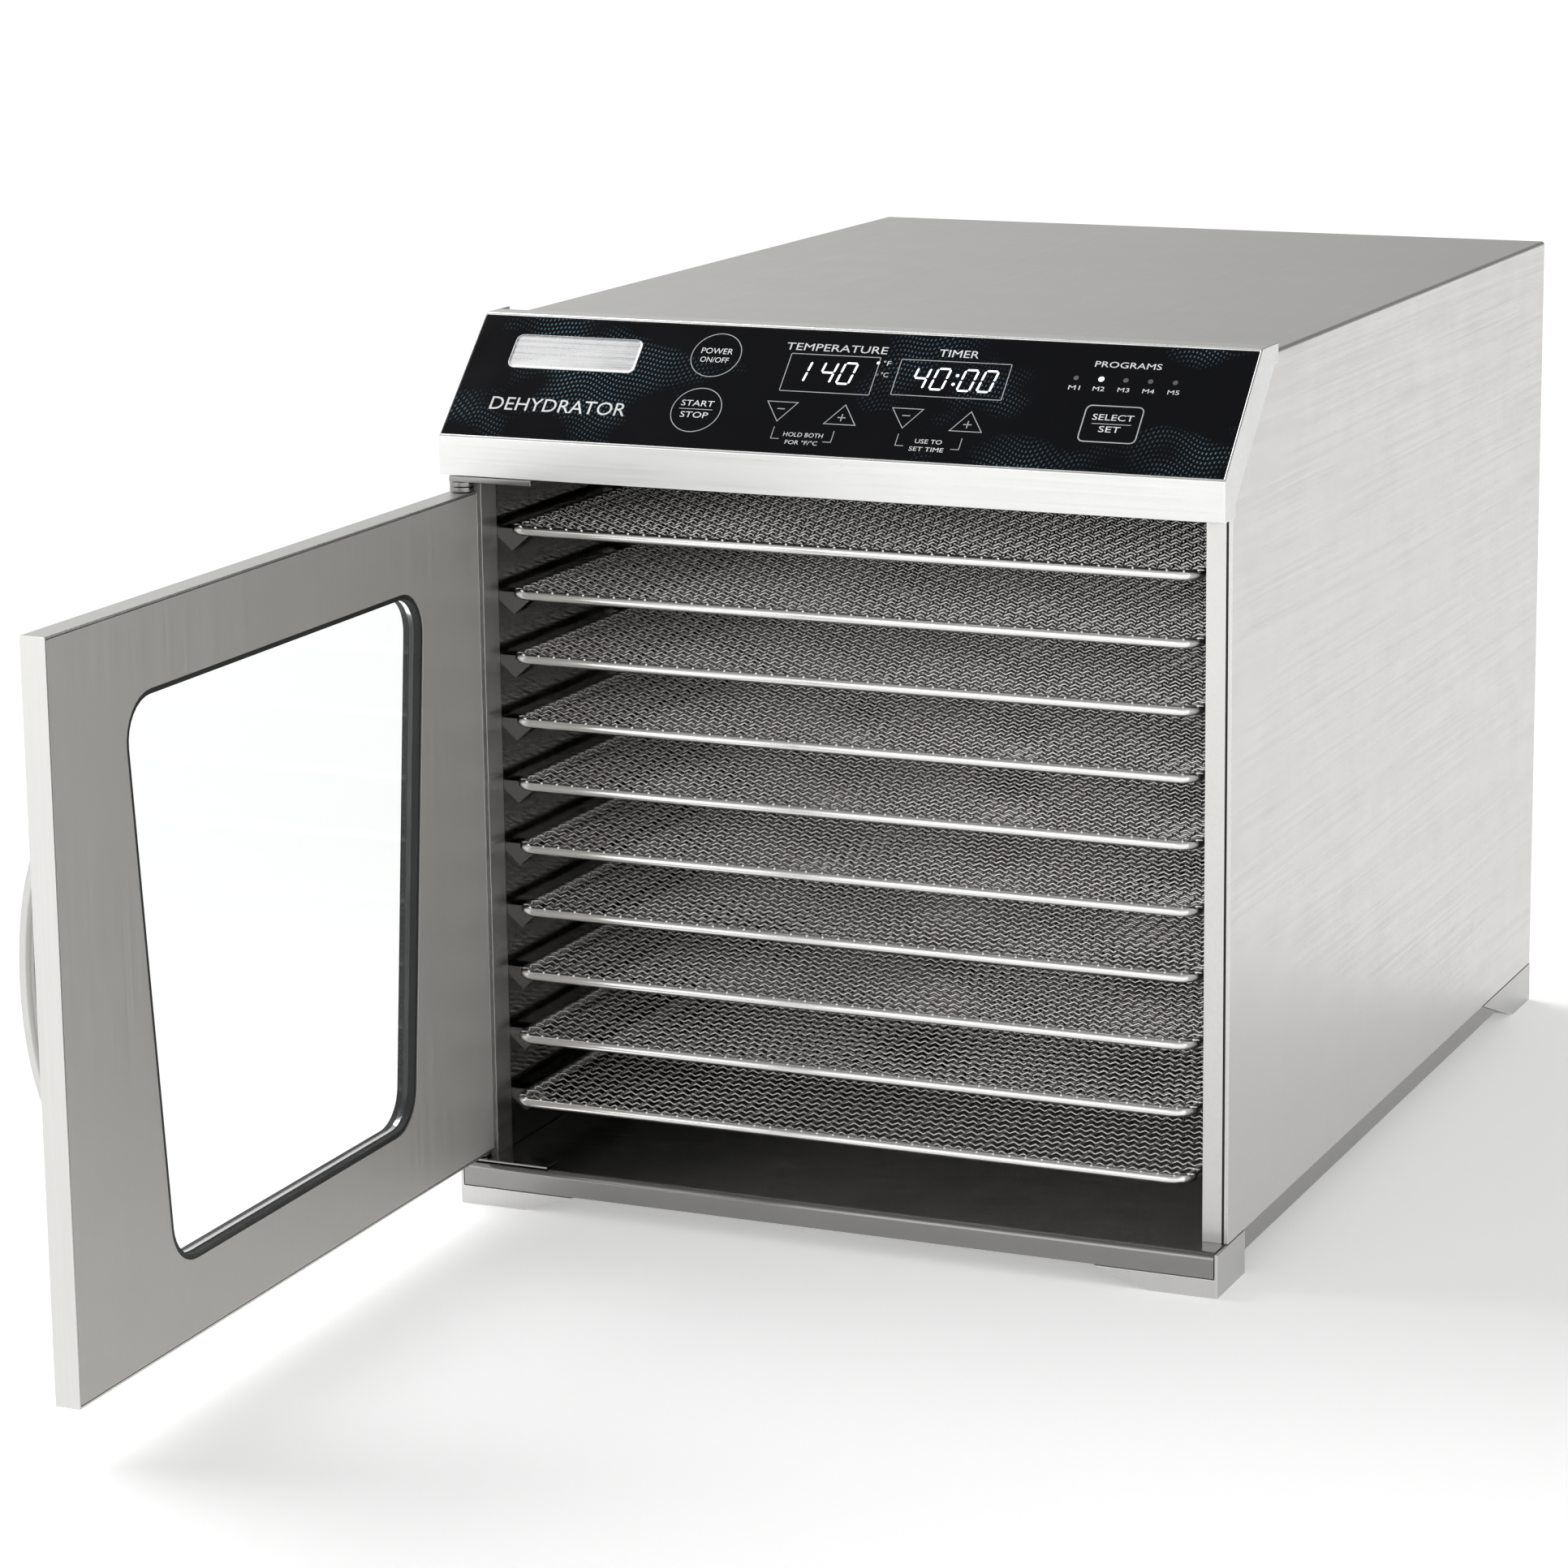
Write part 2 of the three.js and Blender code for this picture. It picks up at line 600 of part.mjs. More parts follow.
function rearCover() {
  const pan = block(-coverHalf, coverHalf, coverBack - cover.flange, coverBack, linerBottom, coverTop);
  const hollow = block(
    -coverHalf + sheet, coverHalf - sheet, coverBack - cover.flange - 1, coverBack - sheet,
    linerBottom + sheet, coverTop - sheet,
  );
  const glandHole = barY(gland.bodyRadius + gap, glandX, glandZ, coverBack - 5, coverBack + 5);
  const ventZ = [fan.z - cover.ventHalfHeight, fan.z + cover.ventHalfHeight];
  const vents = [-0.75, 0.75].flatMap((n) => ventRows(n * vent.width, ...ventZ, coverBack));
  return cut(pan, hollow, glandHole, ...vents);
}
add(root, "rear_cover", steels.cabinet, rearCover());

const glandBody = join(
  barY(gland.bodyRadius, glandX, glandZ, coverBack - 10, coverBack + gap + 1),
  barY(gland.flangeRadius, glandX, glandZ, coverBack + gap, coverBack + gap + gland.flange),
);
const glandBore = barY(gland.boreRadius, glandX, glandZ, coverBack - 20, coverBack + 20);
add(root, "cord_gland", others.rubber, cut(glandBody, glandBore));

const screwRows = { lower: linerBottom + cover.screwInset, upper: coverTop - cover.screwInset };
for (const [row, z] of Object.entries(screwRows)) {
  for (const [column, side] of [["left", -1], ["right", 1]]) {
    const x = side * (coverHalf - cover.screwInset);
    const head = barY(screw.radius, x, z, coverBack + gap, coverBack + gap + screw.height, 16);
    add(root, `cover_screw_${row}_${column}`, steels.wire, head);
  }
}

// ---------------------------------------------------------------- trays

// A welded tray: the round perimeter rod and the mesh across it, as one piece.
// The rod is a ring whose four quarters are moved apart to the tray's corners.
function trayGeometry() {
  const quarterSteps = 3;
  const steps = 4 * quarterSteps;
  const ring = new THREE.TorusGeometry(tray.cornerRadius, tray.rod / 2, 8, steps).rotateZ(Math.PI / steps);
  const reachX = tray.halfWidth - tray.rod / 2 - tray.cornerRadius;
  const reachY = tray.depth / 2 - tray.rod / 2 - tray.cornerRadius;
  const position = ring.getAttribute("position");
  for (let i = 0; i < position.count; i += 1) {
    position.setX(i, position.getX(i) + Math.sign(position.getX(i)) * reachX);
    position.setY(i, position.getY(i) + Math.sign(position.getY(i)) * reachY);
  }
  const meshX = tray.halfWidth - tray.rod / 2;
  const meshY = tray.depth / 2 - tray.rod / 2;
  const outline = roundedShape(rectangle(-meshX, meshX, -meshY, meshY), tray.cornerRadius);
  const mesh = extrude(outline, tray.meshThickness).translate(0, 0, tray.meshRise);
  return join(ring, mesh);
}
for (const number of trayNumbers) {
  const piece = add(root, `tray_${number}`, steels.wire, trayGeometry());
  piece.position.set(0, tray.front + tray.depth / 2 - (drawnOut[number] ?? 0), trayZ(number));
}

// ---------------------------------------------------------------- hinges

const doorHingeEdge = -door.pinFromEdge; // the door's own X, measured from its pin
const topPlateBottom = hood.bottom - gap - hinge.topPlate;
const bottomPlateTop = base.top + gap + hinge.bottomPlate;
const plateLeft = door.pivotX - hinge.plateOverhang;
const plateX = [plateLeft, plateLeft + hinge.plateLength];
const plateY = [hinge.plateFront, jamb.front - gap];
const washerHole = hinge.pinRadius + hinge.pinClearance;
const washer = (z0, thickness) =>
  cut(
    barZ(hinge.washerRadius, door.pivotX, door.pivotY, z0, z0 + thickness),
    barZ(washerHole, door.pivotX, door.pivotY, z0 - 1, z0 + thickness + 1),
  );

const topPlate = block(...plateX, ...plateY, topPlateBottom, topPlateBottom + hinge.topPlate);
add(root, "hinge_plate_top", steels.polished, topPlate);
const bottomPlate = block(...plateX, ...plateY, base.top + gap, bottomPlateTop);
add(root, "hinge_plate_bottom", steels.polished, bottomPlate);
const topPin = [door.top - hinge.pinInDoor, topPlateBottom - gap];
const bottomPin = [bottomPlateTop + gap, door.bottom + hinge.pinInDoor];
add(root, "hinge_pin_top", steels.polished, barZ(hinge.pinRadius, door.pivotX, door.pivotY, ...topPin));
add(root, "hinge_pin_bottom", steels.polished, barZ(hinge.pinRadius, door.pivotX, door.pivotY, ...bottomPin));
const lowerWasher = door.top + gap;
const upperWasher = lowerWasher + hinge.topWasher + gap;
add(root, "hinge_washer_lower", steels.polished, washer(lowerWasher, hinge.topWasher));
add(root, "hinge_washer_upper", steels.polished, washer(upperWasher, topPin[1] - upperWasher));
add(root, "hinge_washer_bottom", steels.polished, washer(bottomPlateTop + gap, hinge.bottomWasher));

// ---------------------------------------------------------------- door, built closed about its pin

const doorBody = new THREE.Group();
doorBody.position.set(door.pivotX, door.pivotY, 0);
doorBody.rotation.z = -THREE.MathUtils.degToRad(door.openAngle);
root.add(doorBody);

const doorX = [doorHingeEdge, doorHingeEdge + door.width];
const doorY = [-door.thickness / 2, door.thickness / 2]; // outer face, inner face

// The window is a trapezium, wider at the top. Grown moves its edges outwards.
function windowOutline(grown) {
  const middle = (doorX[0] + doorX[1]) / 2;
  const top = door.top - windowOf.topMargin;
  const bottom = door.bottom + windowOf.bottomMargin;
  const halfTop = door.width / 2 - windowOf.sideAtTop;
  const halfBottom = door.width / 2 - windowOf.sideAtBottom;
  const lean = (halfTop - halfBottom) / (top - bottom);
  const sideways = grown * Math.hypot(1, lean);
  const wideTop = halfTop + sideways + lean * grown;
  const wideBottom = halfBottom + sideways - lean * grown;
  const corners = [
    [middle - wideBottom, bottom - grown],
    [middle + wideBottom, bottom - grown],
    [middle + wideTop, top + grown],
    [middle - wideTop, top + grown],
  ];
  return roundedShape(corners, windowOf.radius + grown);
}
const windowCutter = prismY(windowOutline(0), -50, 50);
const pinCutter = barZ(washerHole, 0, 0, door.bottom - 20, door.top + 20);

function doorOuterShell() {
  const outside = block(...doorX, ...doorY, door.bottom, door.top);
  const hollow = block(
    doorX[0] + sheet, doorX[1] - sheet, doorY[0] + sheet, doorY[1] + 1, door.bottom + sheet, door.top - sheet,
  );
  return cut(outside, hollow, windowCutter, pinCutter);
}
add(doorBody, "door_outer_shell", steels.door, doorOuterShell());

function doorInnerPanel() {
  const inset = sheet + gap;
  const panelX = [doorX[0] + inset, doorX[1] - inset];
  const panelZ = [door.bottom + inset, door.top - inset];
  const panelBack = hinge.pinRadius + hinge.pinClearance; // its folded rim stops short of the pins
  const outside = block(...panelX, panelBack, doorY[1], ...panelZ);
  const insideX = [panelX[0] + sheet, panelX[1] - sheet];
  const insideZ = [panelZ[0] + sheet, panelZ[1] - sheet];
  const hollow = block(...insideX, panelBack - 1, doorY[1] - sheet, ...insideZ);
  return cut(outside, hollow, windowCutter);
}
add(doorBody, "door_inner_panel", steels.door, doorInnerPanel());

const gasketOuter = windowOutline(-gap);
gasketOuter.holes.push(windowOutline(-gap - pane.gasketWidth));
const gasketY = [doorY[0] + pane.gasketInset, doorY[1] - pane.gasketInset];
add(doorBody, "window_gasket", others.rubber, prismY(gasketOuter, ...gasketY));
const paneOutline = windowOutline(-2 * gap - pane.gasketWidth);
add(doorBody, "door_glass", others.glassClear, prismY(paneOutline, -pane.thickness / 2, pane.thickness / 2));

const handleX = doorX[1] - handle.setBack;
const handleEnds = [handle.centreZ - handle.length / 2, handle.centreZ + handle.length / 2];

// A bowed bar that leaves the door square to its face at both ends.
function doorHandle() {
  const face = doorY[0] - gap;
  const bulge = ((handle.reach - handle.thickness / 2) * 4) / 3; // control points of a cubic, for that reach
  const at = (y, z) => new THREE.Vector3(handleX, y, z);
  const extrudePath = new THREE.CubicBezierCurve3(
    at(face, handleEnds[0]),
    at(face - bulge, handleEnds[0]),
    at(face - bulge, handleEnds[1]),
    at(face, handleEnds[1]),
  );
  const section = new THREE.Shape();
  section.absellipse(0, 0, handle.width / 2, handle.thickness / 2, 0, 2 * Math.PI);
  const settings = { steps: 28, curveSegments: 6, bevelEnabled: false, extrudePath };
  return new THREE.ExtrudeGeometry(section, settings);
}
add(doorBody, "door_handle", steels.polished, doorHandle());

const screwY = [doorY[0] + sheet + gap, doorY[0] + sheet + gap + screw.height];
for (const [name, z] of [["handle_screw_lower", handleEnds[0]], ["handle_screw_upper", handleEnds[1]]]) {
  add(doorBody, name, steels.wire, barY(screw.radius, handleX, z, ...screwY, 14));
}
const magnetRight = doorX[1] - 2 * (sheet + gap) - gap; // clear of the inner panel's rim
const magnetBack = doorY[1] - sheet - gap;
const magnetBlock = block(
  magnetRight - magnet.width, magnetRight, magnetBack - magnet.thickness, magnetBack,
  handle.centreZ - magnet.height / 2, handle.centreZ + magnet.height / 2,
);
add(doorBody, "door_magnet", others.plastic, magnetBlock);

// ---------------------------------------------------------------- the model's own origin

const model = new THREE.Group();
model.add(root);
model.updateMatrixWorld(true);
const bounds = new THREE.Box3().setFromObject(model, true);
const middle = bounds.getCenter(new THREE.Vector3());
root.position.set(-middle.x, -middle.y, -bounds.min.z);

export default model;
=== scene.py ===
"""Countertop food dehydrator: finishes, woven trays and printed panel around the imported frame."""

import json
import math

import bmesh
import bpy
from mathutils import Matrix, Vector


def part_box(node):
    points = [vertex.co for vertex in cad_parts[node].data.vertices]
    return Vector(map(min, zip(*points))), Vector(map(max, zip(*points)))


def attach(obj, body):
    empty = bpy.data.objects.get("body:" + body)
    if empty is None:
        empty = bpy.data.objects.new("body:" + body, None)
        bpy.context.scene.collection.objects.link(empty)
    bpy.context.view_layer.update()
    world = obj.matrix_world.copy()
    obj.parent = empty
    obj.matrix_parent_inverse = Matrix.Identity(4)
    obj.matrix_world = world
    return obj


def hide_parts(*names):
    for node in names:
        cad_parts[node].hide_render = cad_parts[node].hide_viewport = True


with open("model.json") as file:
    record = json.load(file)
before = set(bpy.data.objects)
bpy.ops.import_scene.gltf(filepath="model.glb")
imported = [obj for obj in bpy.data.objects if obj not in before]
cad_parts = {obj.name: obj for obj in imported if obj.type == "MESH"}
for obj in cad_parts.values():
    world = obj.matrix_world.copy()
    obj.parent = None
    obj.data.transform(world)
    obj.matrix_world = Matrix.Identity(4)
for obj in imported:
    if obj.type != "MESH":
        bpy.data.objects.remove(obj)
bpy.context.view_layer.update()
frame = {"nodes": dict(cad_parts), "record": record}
MM = 0.001
SLOT_OF = {name: node.material_slots[0].material.name for name, node in frame["nodes"].items()}
BODY_OF = {node: body for body, nodes in frame["record"]["behaviour"]["bodies"].items() for node in nodes}

# The maker's drawing measures from the middle of the hood's front edge, at floor level.
hood_low, hood_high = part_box("control_hood")
DRAWING_ZERO = Vector(((hood_low.x + hood_high.x) / 2, hood_low.y, 0))


def drawn(x, y, z):
    return DRAWING_ZERO + Vector((x, y, z)) * MM


# ------------------------------------------------------------ camera, floor and light


def place_camera():
    """Stands to the right of the front and a little above it, looking slightly down."""
    place = drawn(742.137, -1679.678, 625.355)
    heading, tilt, roll = -0.392324, -0.206612, -0.006367
    level_part = math.cos(tilt)
    ahead = Vector((math.sin(heading) * level_part, math.cos(heading) * level_part, math.sin(tilt)))
    level = ahead.cross(Vector((0, 0, 1))).normalized()
    upright = level.cross(ahead)
    right = math.cos(roll) * level + math.sin(roll) * upright
    up = -math.sin(roll) * level + math.cos(roll) * upright
    lens = bpy.data.cameras.new("camera")
    lens.sensor_width = 36
    lens.lens = 106.06
    lens.shift_x = -0.0917
    lens.shift_y = -0.0639
    lens.clip_end = 200
    camera = bpy.data.objects.new("camera", lens)
    turn = Matrix((right, up, -ahead)).transposed().to_4x4()
    camera.matrix_world = Matrix.Translation(place) @ turn
    bpy.context.scene.collection.objects.link(camera)
    bpy.context.scene.camera = camera


def soft_light(name, place, aim, size, power):
    light = bpy.data.lights.new(name, "AREA")
    light.shape = "DISK"
    light.size = size
    light.energy = power
    lamp = bpy.data.objects.new(name, light)
    turn = (Vector(aim) - Vector(place)).to_track_quat("-Z", "Y").to_matrix().to_4x4()
    lamp.matrix_world = Matrix.Translation(Vector(place)) @ turn
    bpy.context.scene.collection.objects.link(lamp)


def wide_sky_light(direction, spread, power):
    light = bpy.data.lights.new("key", "SUN")
    light.angle = spread
    light.energy = power
    lamp = bpy.data.objects.new("key", light)
    lamp.matrix_world = Vector(direction).to_track_quat("Z", "Y").to_matrix().to_4x4()
    bpy.context.scene.collection.objects.link(lamp)


def pale_floor():
    """White paper that gives off a little light, so that its shadows stay pale."""
    bm = bmesh.new()
    bmesh.ops.create_grid(bm, x_segments=1, y_segments=1, size=30)
    mesh = bpy.data.meshes.new("floor")
    bm.to_mesh(mesh)
    bm.free()
    floor = bpy.data.objects.new("floor", mesh)
    bpy.context.scene.collection.objects.link(floor)
    paint = bpy.data.materials.new("floor_paper")
    paint.use_nodes = True
    surface = paint.node_tree.nodes["Principled BSDF"]
    surface.inputs["Base Color"].default_value = (0.93, 0.93, 0.93, 1)
    surface.inputs["Roughness"].default_value = 0.9
    surface.inputs["Specular IOR Level"].default_value = 0.1
    surface.inputs["Emission Color"].default_value = (1, 1, 1, 1)
    surface.inputs["Emission Strength"].default_value = 0.36
    mesh.materials.append(paint)


def studio_air():
    """A white room whose ceiling, and whose far right corner, are dimmer than its walls."""
    world = bpy.data.worlds.new("studio")
    bpy.context.scene.world = world
    world.use_nodes = True
    nodes, links = world.node_tree.nodes, world.node_tree.links
    place = nodes.new("ShaderNodeTexCoord")
    split = nodes.new("ShaderNodeSeparateXYZ")
    ramp = nodes.new("ShaderNodeValToRGB")
    links.new(place.outputs["Generated"], split.inputs[0])
    links.new(split.outputs["Z"], ramp.inputs[0])
    stops = ramp.color_ramp.elements
    stops[0].position, stops[0].color = 0.0, (1.0, 1.0, 1.0, 1)
    stops[1].position, stops[1].color = 1.0, (0.22, 0.22, 0.22, 1)
    for height, level in ((0.1, 0.98), (0.3, 0.75), (0.6, 0.5), (0.8, 0.3)):
        stop = stops.new(height)
        stop.color = (level, level, level * 0.99, 1)
    towards_dim_corner = nodes.new("ShaderNodeVectorMath")
    towards_dim_corner.operation = "DOT_PRODUCT"
    towards_dim_corner.inputs[1].default_value = (0.6, 0.8, 0)
    links.new(place.outputs["Generated"], towards_dim_corner.inputs[0])
    dimming = nodes.new("ShaderNodeMapRange")
    ends = {"From Min": 0.25, "From Max": 0.75, "To Min": 1.08, "To Max": 0.35}
    for socket, number in ends.items():
        dimming.inputs[socket].default_value = number
    links.new(towards_dim_corner.outputs["Value"], dimming.inputs["Value"])
    dimmed = nodes.new("ShaderNodeVectorMath")
    dimmed.operation = "SCALE"
    links.new(ramp.outputs[0], dimmed.inputs[0])
    links.new(dimming.outputs[0], dimmed.inputs["Scale"])
    links.new(dimmed.outputs[0], nodes["Background"].inputs["Color"])
    nodes["Background"].inputs["Strength"].default_value = 1.0


place_camera()
pale_floor()
studio_air()
middle_of_object = drawn(0, 240, 180)
wide_sky_light((-0.72, 0.16, 0.68), 0.8, 1.7)
soft_light("fill", drawn(2300, -900, 900), middle_of_object, 2.4, 7)
soft_light("front", drawn(-900, -2300, 500), middle_of_object, 1.6, 5)
bpy.context.scene.view_settings.view_transform = "Standard"

# ------------------------------------------------------------ finishes


class Finish:
    """A material with the few node chains that the finishes share."""

    def __init__(self, name):
        self.material = bpy.data.materials.new(name)
        self.material.use_nodes = True
        self.nodes = self.material.node_tree.nodes
        self.links = self.material.node_tree.links
        self.surface = self.nodes["Principled BSDF"]
        self.place = self.nodes.new("ShaderNodeTexCoord").outputs["Object"]

    def set(self, **values):
        for socket, value in values.items():
            self.surface.inputs[socket.replace("_", " ")].default_value = value

    def mapped(self, scale, turn=(0, 0, 0), shift=(0, 0, 0)):
        node = self.nodes.new("ShaderNodeMapping")
        node.inputs["Scale"].default_value = scale
        node.inputs["Rotation"].default_value = turn
        node.inputs["Location"].default_value = shift
        self.links.new(self.place, node.inputs["Vector"])
        return node.outputs[0]

    def noise(self, vector, scale=1.0, detail=3.0, rough=0.55):
        node = self.nodes.new("ShaderNodeTexNoise")
        node.inputs["Scale"].default_value = scale
        node.inputs["Detail"].default_value = detail
        node.inputs["Roughness"].default_value = rough
        self.links.new(vector, node.inputs["Vector"])
        return node.outputs["Fac"]

    def ranged(self, value, low, high, from_low=0.3, from_high=0.7):
        node = self.nodes.new("ShaderNodeMapRange")
        self.links.new(value, node.inputs["Value"])
        ends = {"From Min": from_low, "From Max": from_high, "To Min": low, "To Max": high}
        for socket, number in ends.items():
            node.inputs[socket].default_value = number
        return node.outputs[0]

    def math(self, kind, a, b=0.0):
        node = self.nodes.new("ShaderNodeMath")
        node.operation = kind
        for socket, value in zip(node.inputs, (a, b)):
            if isinstance(value, (int, float)):
                socket.default_value = value
            else:
                self.links.new(value, socket)
        return node.outputs[0]

    def mixed(self, factor, first, second):
        node = self.nodes.new("ShaderNodeMix")
        node.data_type = "RGBA"
        self.links.new(factor, node.inputs["Factor"])
        for socket, colour in ((node.inputs[6], first), (node.inputs[7], second)):
            if isinstance(colour, tuple):
                socket.default_value = (*colour, 1)
            else:
                self.links.new(colour, socket)
        return node.outputs[2]

    def marked(self, name):
        """How far a face is marked as an eased edge with a painted highlight, or as a seam with a painted
        shadow.
        """
        node = self.nodes.new("ShaderNodeAttribute")
        node.attribute_name = name
        return node.outputs["Fac"]

    def colour(self, output):
        self.links.new(output, self.surface.inputs["Base Color"])

    def roughness(self, output):
        self.links.new(output, self.surface.inputs["Roughness"])

    def bumps(self, height, strength, distance):
        node = self.nodes.new("ShaderNodeBump")
        node.inputs["Strength"].default_value = strength
        node.inputs["Distance"].default_value = distance
        self.links.new(height, node.inputs["Height"])
        self.links.new(node.outputs[0], self.surface.inputs["Normal"])


def shade(colour, by):
    return tuple(min(1.0, c * by) for c in colour)


def brushed_steel(name, colour, rough, along, across=750, bump=0.12, spread=0.07, metal=1.0):
    """Sheet steel brushed along one axis, a little cloudy, with a painted highlight on its eased folded
    edges, which are also glossier.
    """
    made = Finish(name)
    made.set(Metallic=metal)
    scale = [across] * 3
    scale["XYZ".index(along)] = across / 90
    grain = made.noise(made.mapped(scale), 1.0, 2.0)
    cloud = made.noise(made.mapped((1, 1, 1)), 7.0, 3.0)
    smear = made.noise(made.mapped((1, 1, 1)), 38.0, 4.0, 0.65)
    edge_highlight = made.marked("painted_edge_highlight")
    tone = made.mixed(made.ranged(grain, 0, 1), shade(colour, 0.965), shade(colour, 1.03))
    clouded = made.mixed(made.ranged(cloud, 0, 0.35), tone, shade(colour, 0.93))
    # Painted highlight: faces at the eased fold edges are lightened by about a sixth.
    highlighted = made.mixed(made.math("MULTIPLY", edge_highlight, 0.7), clouded, shade(colour, 1.22))
    # Painted shadow: faces in the seam are darkened to near black.
    made.colour(made.mixed(made.marked("painted_seam_shadow"), highlighted, shade(colour, 0.06)))
    brushed = made.ranged(grain, rough - spread, rough + spread)
    handled = made.math("ADD", brushed, made.ranged(smear, -0.025, 0.035))
    made.roughness(made.math("SUBTRACT", handled, made.math("MULTIPLY", edge_highlight, 0.09)))
    made.bumps(grain, bump, 0.00012)
    return made.material


def bright_metal(name, colour, rough, scale=260, bump=0.06):
    """Polished or plated metal: small waviness, hairline marks and fingerprints in the gloss."""
    made = Finish(name)
    made.set(Metallic=1.0)
    ripple = made.noise(made.mapped((1, 1, 1)), scale, 2.0)
    marks = made.noise(made.mapped((60, 700, 400)), 1.0, 3.0)
    haze = made.noise(made.mapped((1, 1, 1)), 45.0, 3.0)
    edge_highlight = made.marked("painted_edge_highlight")
    tone = made.mixed(made.ranged(haze, 0, 1), shade(colour, 0.95), colour)
    # Painted highlight: faces at eased edges are lightened by about a twentieth.
    made.colour(made.mixed(made.math("MULTIPLY", edge_highlight, 0.6), tone, shade(colour, 1.1)))
    fogged = made.ranged(haze, rough - 0.03, rough + 0.05)
    made.roughness(made.math("ADD", fogged, made.ranged(marks, -0.02, 0.05)))
    made.bumps(ripple, bump, 0.0001)
    return made.material


def moulded(name, colour, rough, scale=900, bump=0.25, spread=0.08, **extra):
    """Plastic, rubber or lacquer with a fine mould texture and dusty variation."""
    made = Finish(name)
    made.set(**extra)
    texture = made.noise(made.mapped((1, 1, 1)), scale, 2.0)
    dust = made.noise(made.mapped((1, 1, 1)), 30.0, 4.0)
    made.colour(made.mixed(made.ranged(dust, 0, 1), shade(colour, 0.85), shade(colour, 1.2)))
    made.roughness(made.ranged(dust, rough - spread, rough + spread))
    made.bumps(texture, bump, 0.0001)
    return made.material


def clear_pane():
    """Clear door glass, a little smeared."""
    made = Finish("door_pane")
    made.set(Base_Color=(0.97, 0.985, 0.98, 1), Transmission_Weight=1.0, IOR=1.2)
    smear = made.noise(made.mapped((8, 20, 14)), 1.0, 4.0)
    made.roughness(made.ranged(smear, 0.0, 0.03))
    made.bumps(made.noise(made.mapped((1, 1, 1)), 12.0, 1.0), 0.01, 0.0001)
    return made.material


PANEL_RISE, PANEL_RUN = 46.2, 45.3  # of the sloping glass, in mm
SLOPE = math.atan2(PANEL_RISE, PANEL_RUN)


def black_panel():
    """Black glass with a faint printed pattern: rows of small blue-grey dashes that swell like low hills."""
    row_pitch, column_pitch = 2.3, 1.75
    made = Finish("panel_glass")
    made.set(Specular_IOR_Level=0.2)
    flat = made.mapped((1000, 1000, 1000), (-SLOPE, 0, 0))
    split = made.nodes.new("ShaderNodeSeparateXYZ")
    made.links.new(flat, split.inputs[0])
    across, up = split.outputs["X"], split.outputs["Y"]
    swell = made.noise(made.mapped((22, 0, 0), (0, 0, 0), (3.1, 0.4, 0)), 1.0, 1.0)
    lifted = made.math("ADD", up, made.math("MULTIPLY", swell, 46.0))
    rows = made.math("SINE", made.math("MULTIPLY", lifted, 2 * math.pi / row_pitch))
    leaning = made.math("ADD", across, made.math("MULTIPLY", up, -0.25))
    columns = made.math("SINE", made.math("MULTIPLY", leaning, 2 * math.pi / column_pitch))
    long_marks, short_marks = made.ranged(rows, 0, 1, -0.2, 0.7), made.ranged(columns, 0, 1, 0.35, 0.9)
    dash = made.math("MULTIPLY", long_marks, short_marks)
    patch = made.noise(made.mapped((17, 26, 26), (0, 0, 0), (0.7, 0, 0)), 1.0, 2.0)
    hills = made.ranged(patch, 0, 1, 0.54, 0.68)
    tint = made.noise(made.mapped((12, 12, 12)), 1.0, 1.0)
    ink = made.mixed(made.ranged(tint, 0, 1), (0.045, 0.085, 0.15), (0.20, 0.37, 0.46))
    black = (0.0028, 0.003, 0.0042)
    made.colour(made.mixed(made.math("MULTIPLY", dash, hills), black, ink))
    haze = made.noise(made.mapped((1, 1, 1)), 24.0, 4.0)
    made.roughness(made.ranged(haze, 0.05, 0.13))
    made.bumps(made.noise(made.mapped((1, 1, 1)), 60.0, 1.0), 0.015, 0.0001)
    return made.material


def glowing(name, colour, strength):
    """A lit figure or lamp behind the glass."""
    made = Finish(name)
    made.set(Emission_Color=(*colour, 1), Emission_Strength=strength, Roughness=0.35)
    fleck = made.noise(made.mapped((1, 1, 1)), 500.0, 1.0)
    made.colour(made.mixed(made.ranged(fleck, 0, 1), shade(colour, 0.85), colour))
    return made.material


def circuit_green():
    """Green lacquer over copper tracks."""
    made = Finish("circuit_board")
    trace = made.nodes.new("ShaderNodeTexVoronoi")
    trace.feature = "DISTANCE_TO_EDGE"
    trace.inputs["Scale"].default_value = 260
    made.links.new(made.place, trace.inputs["Vector"])
    lines = made.ranged(trace.outputs["Distance"], 1, 0, 0.02, 0.09)
    made.colour(made.mixed(lines, (0.008, 0.075, 0.028), (0.04, 0.17, 0.06)))
    made.roughness(made.ranged(made.noise(made.mapped((1, 1, 1)), 300.0), 0.28, 0.45))
    made.bumps(lines, 0.3, 0.00008)
    return made.material


def heated_sheath():
    """Steel tube tinted brown and straw by its own heat."""
    made = Finish("heater_sheath")
    made.set(Metallic=1.0)
    tint = made.noise(made.mapped((1, 1, 1)), 30.0, 3.0)
    made.colour(made.mixed(made.ranged(tint, 0, 1), (0.25, 0.17, 0.12), (0.36, 0.33, 0.31)))
    made.roughness(made.ranged(made.noise(made.mapped((1, 1, 1)), 400.0), 0.38, 0.6))
    made.bumps(made.noise(made.mapped((1, 1, 1)), 700.0), 0.3, 0.0001)
    return made.material


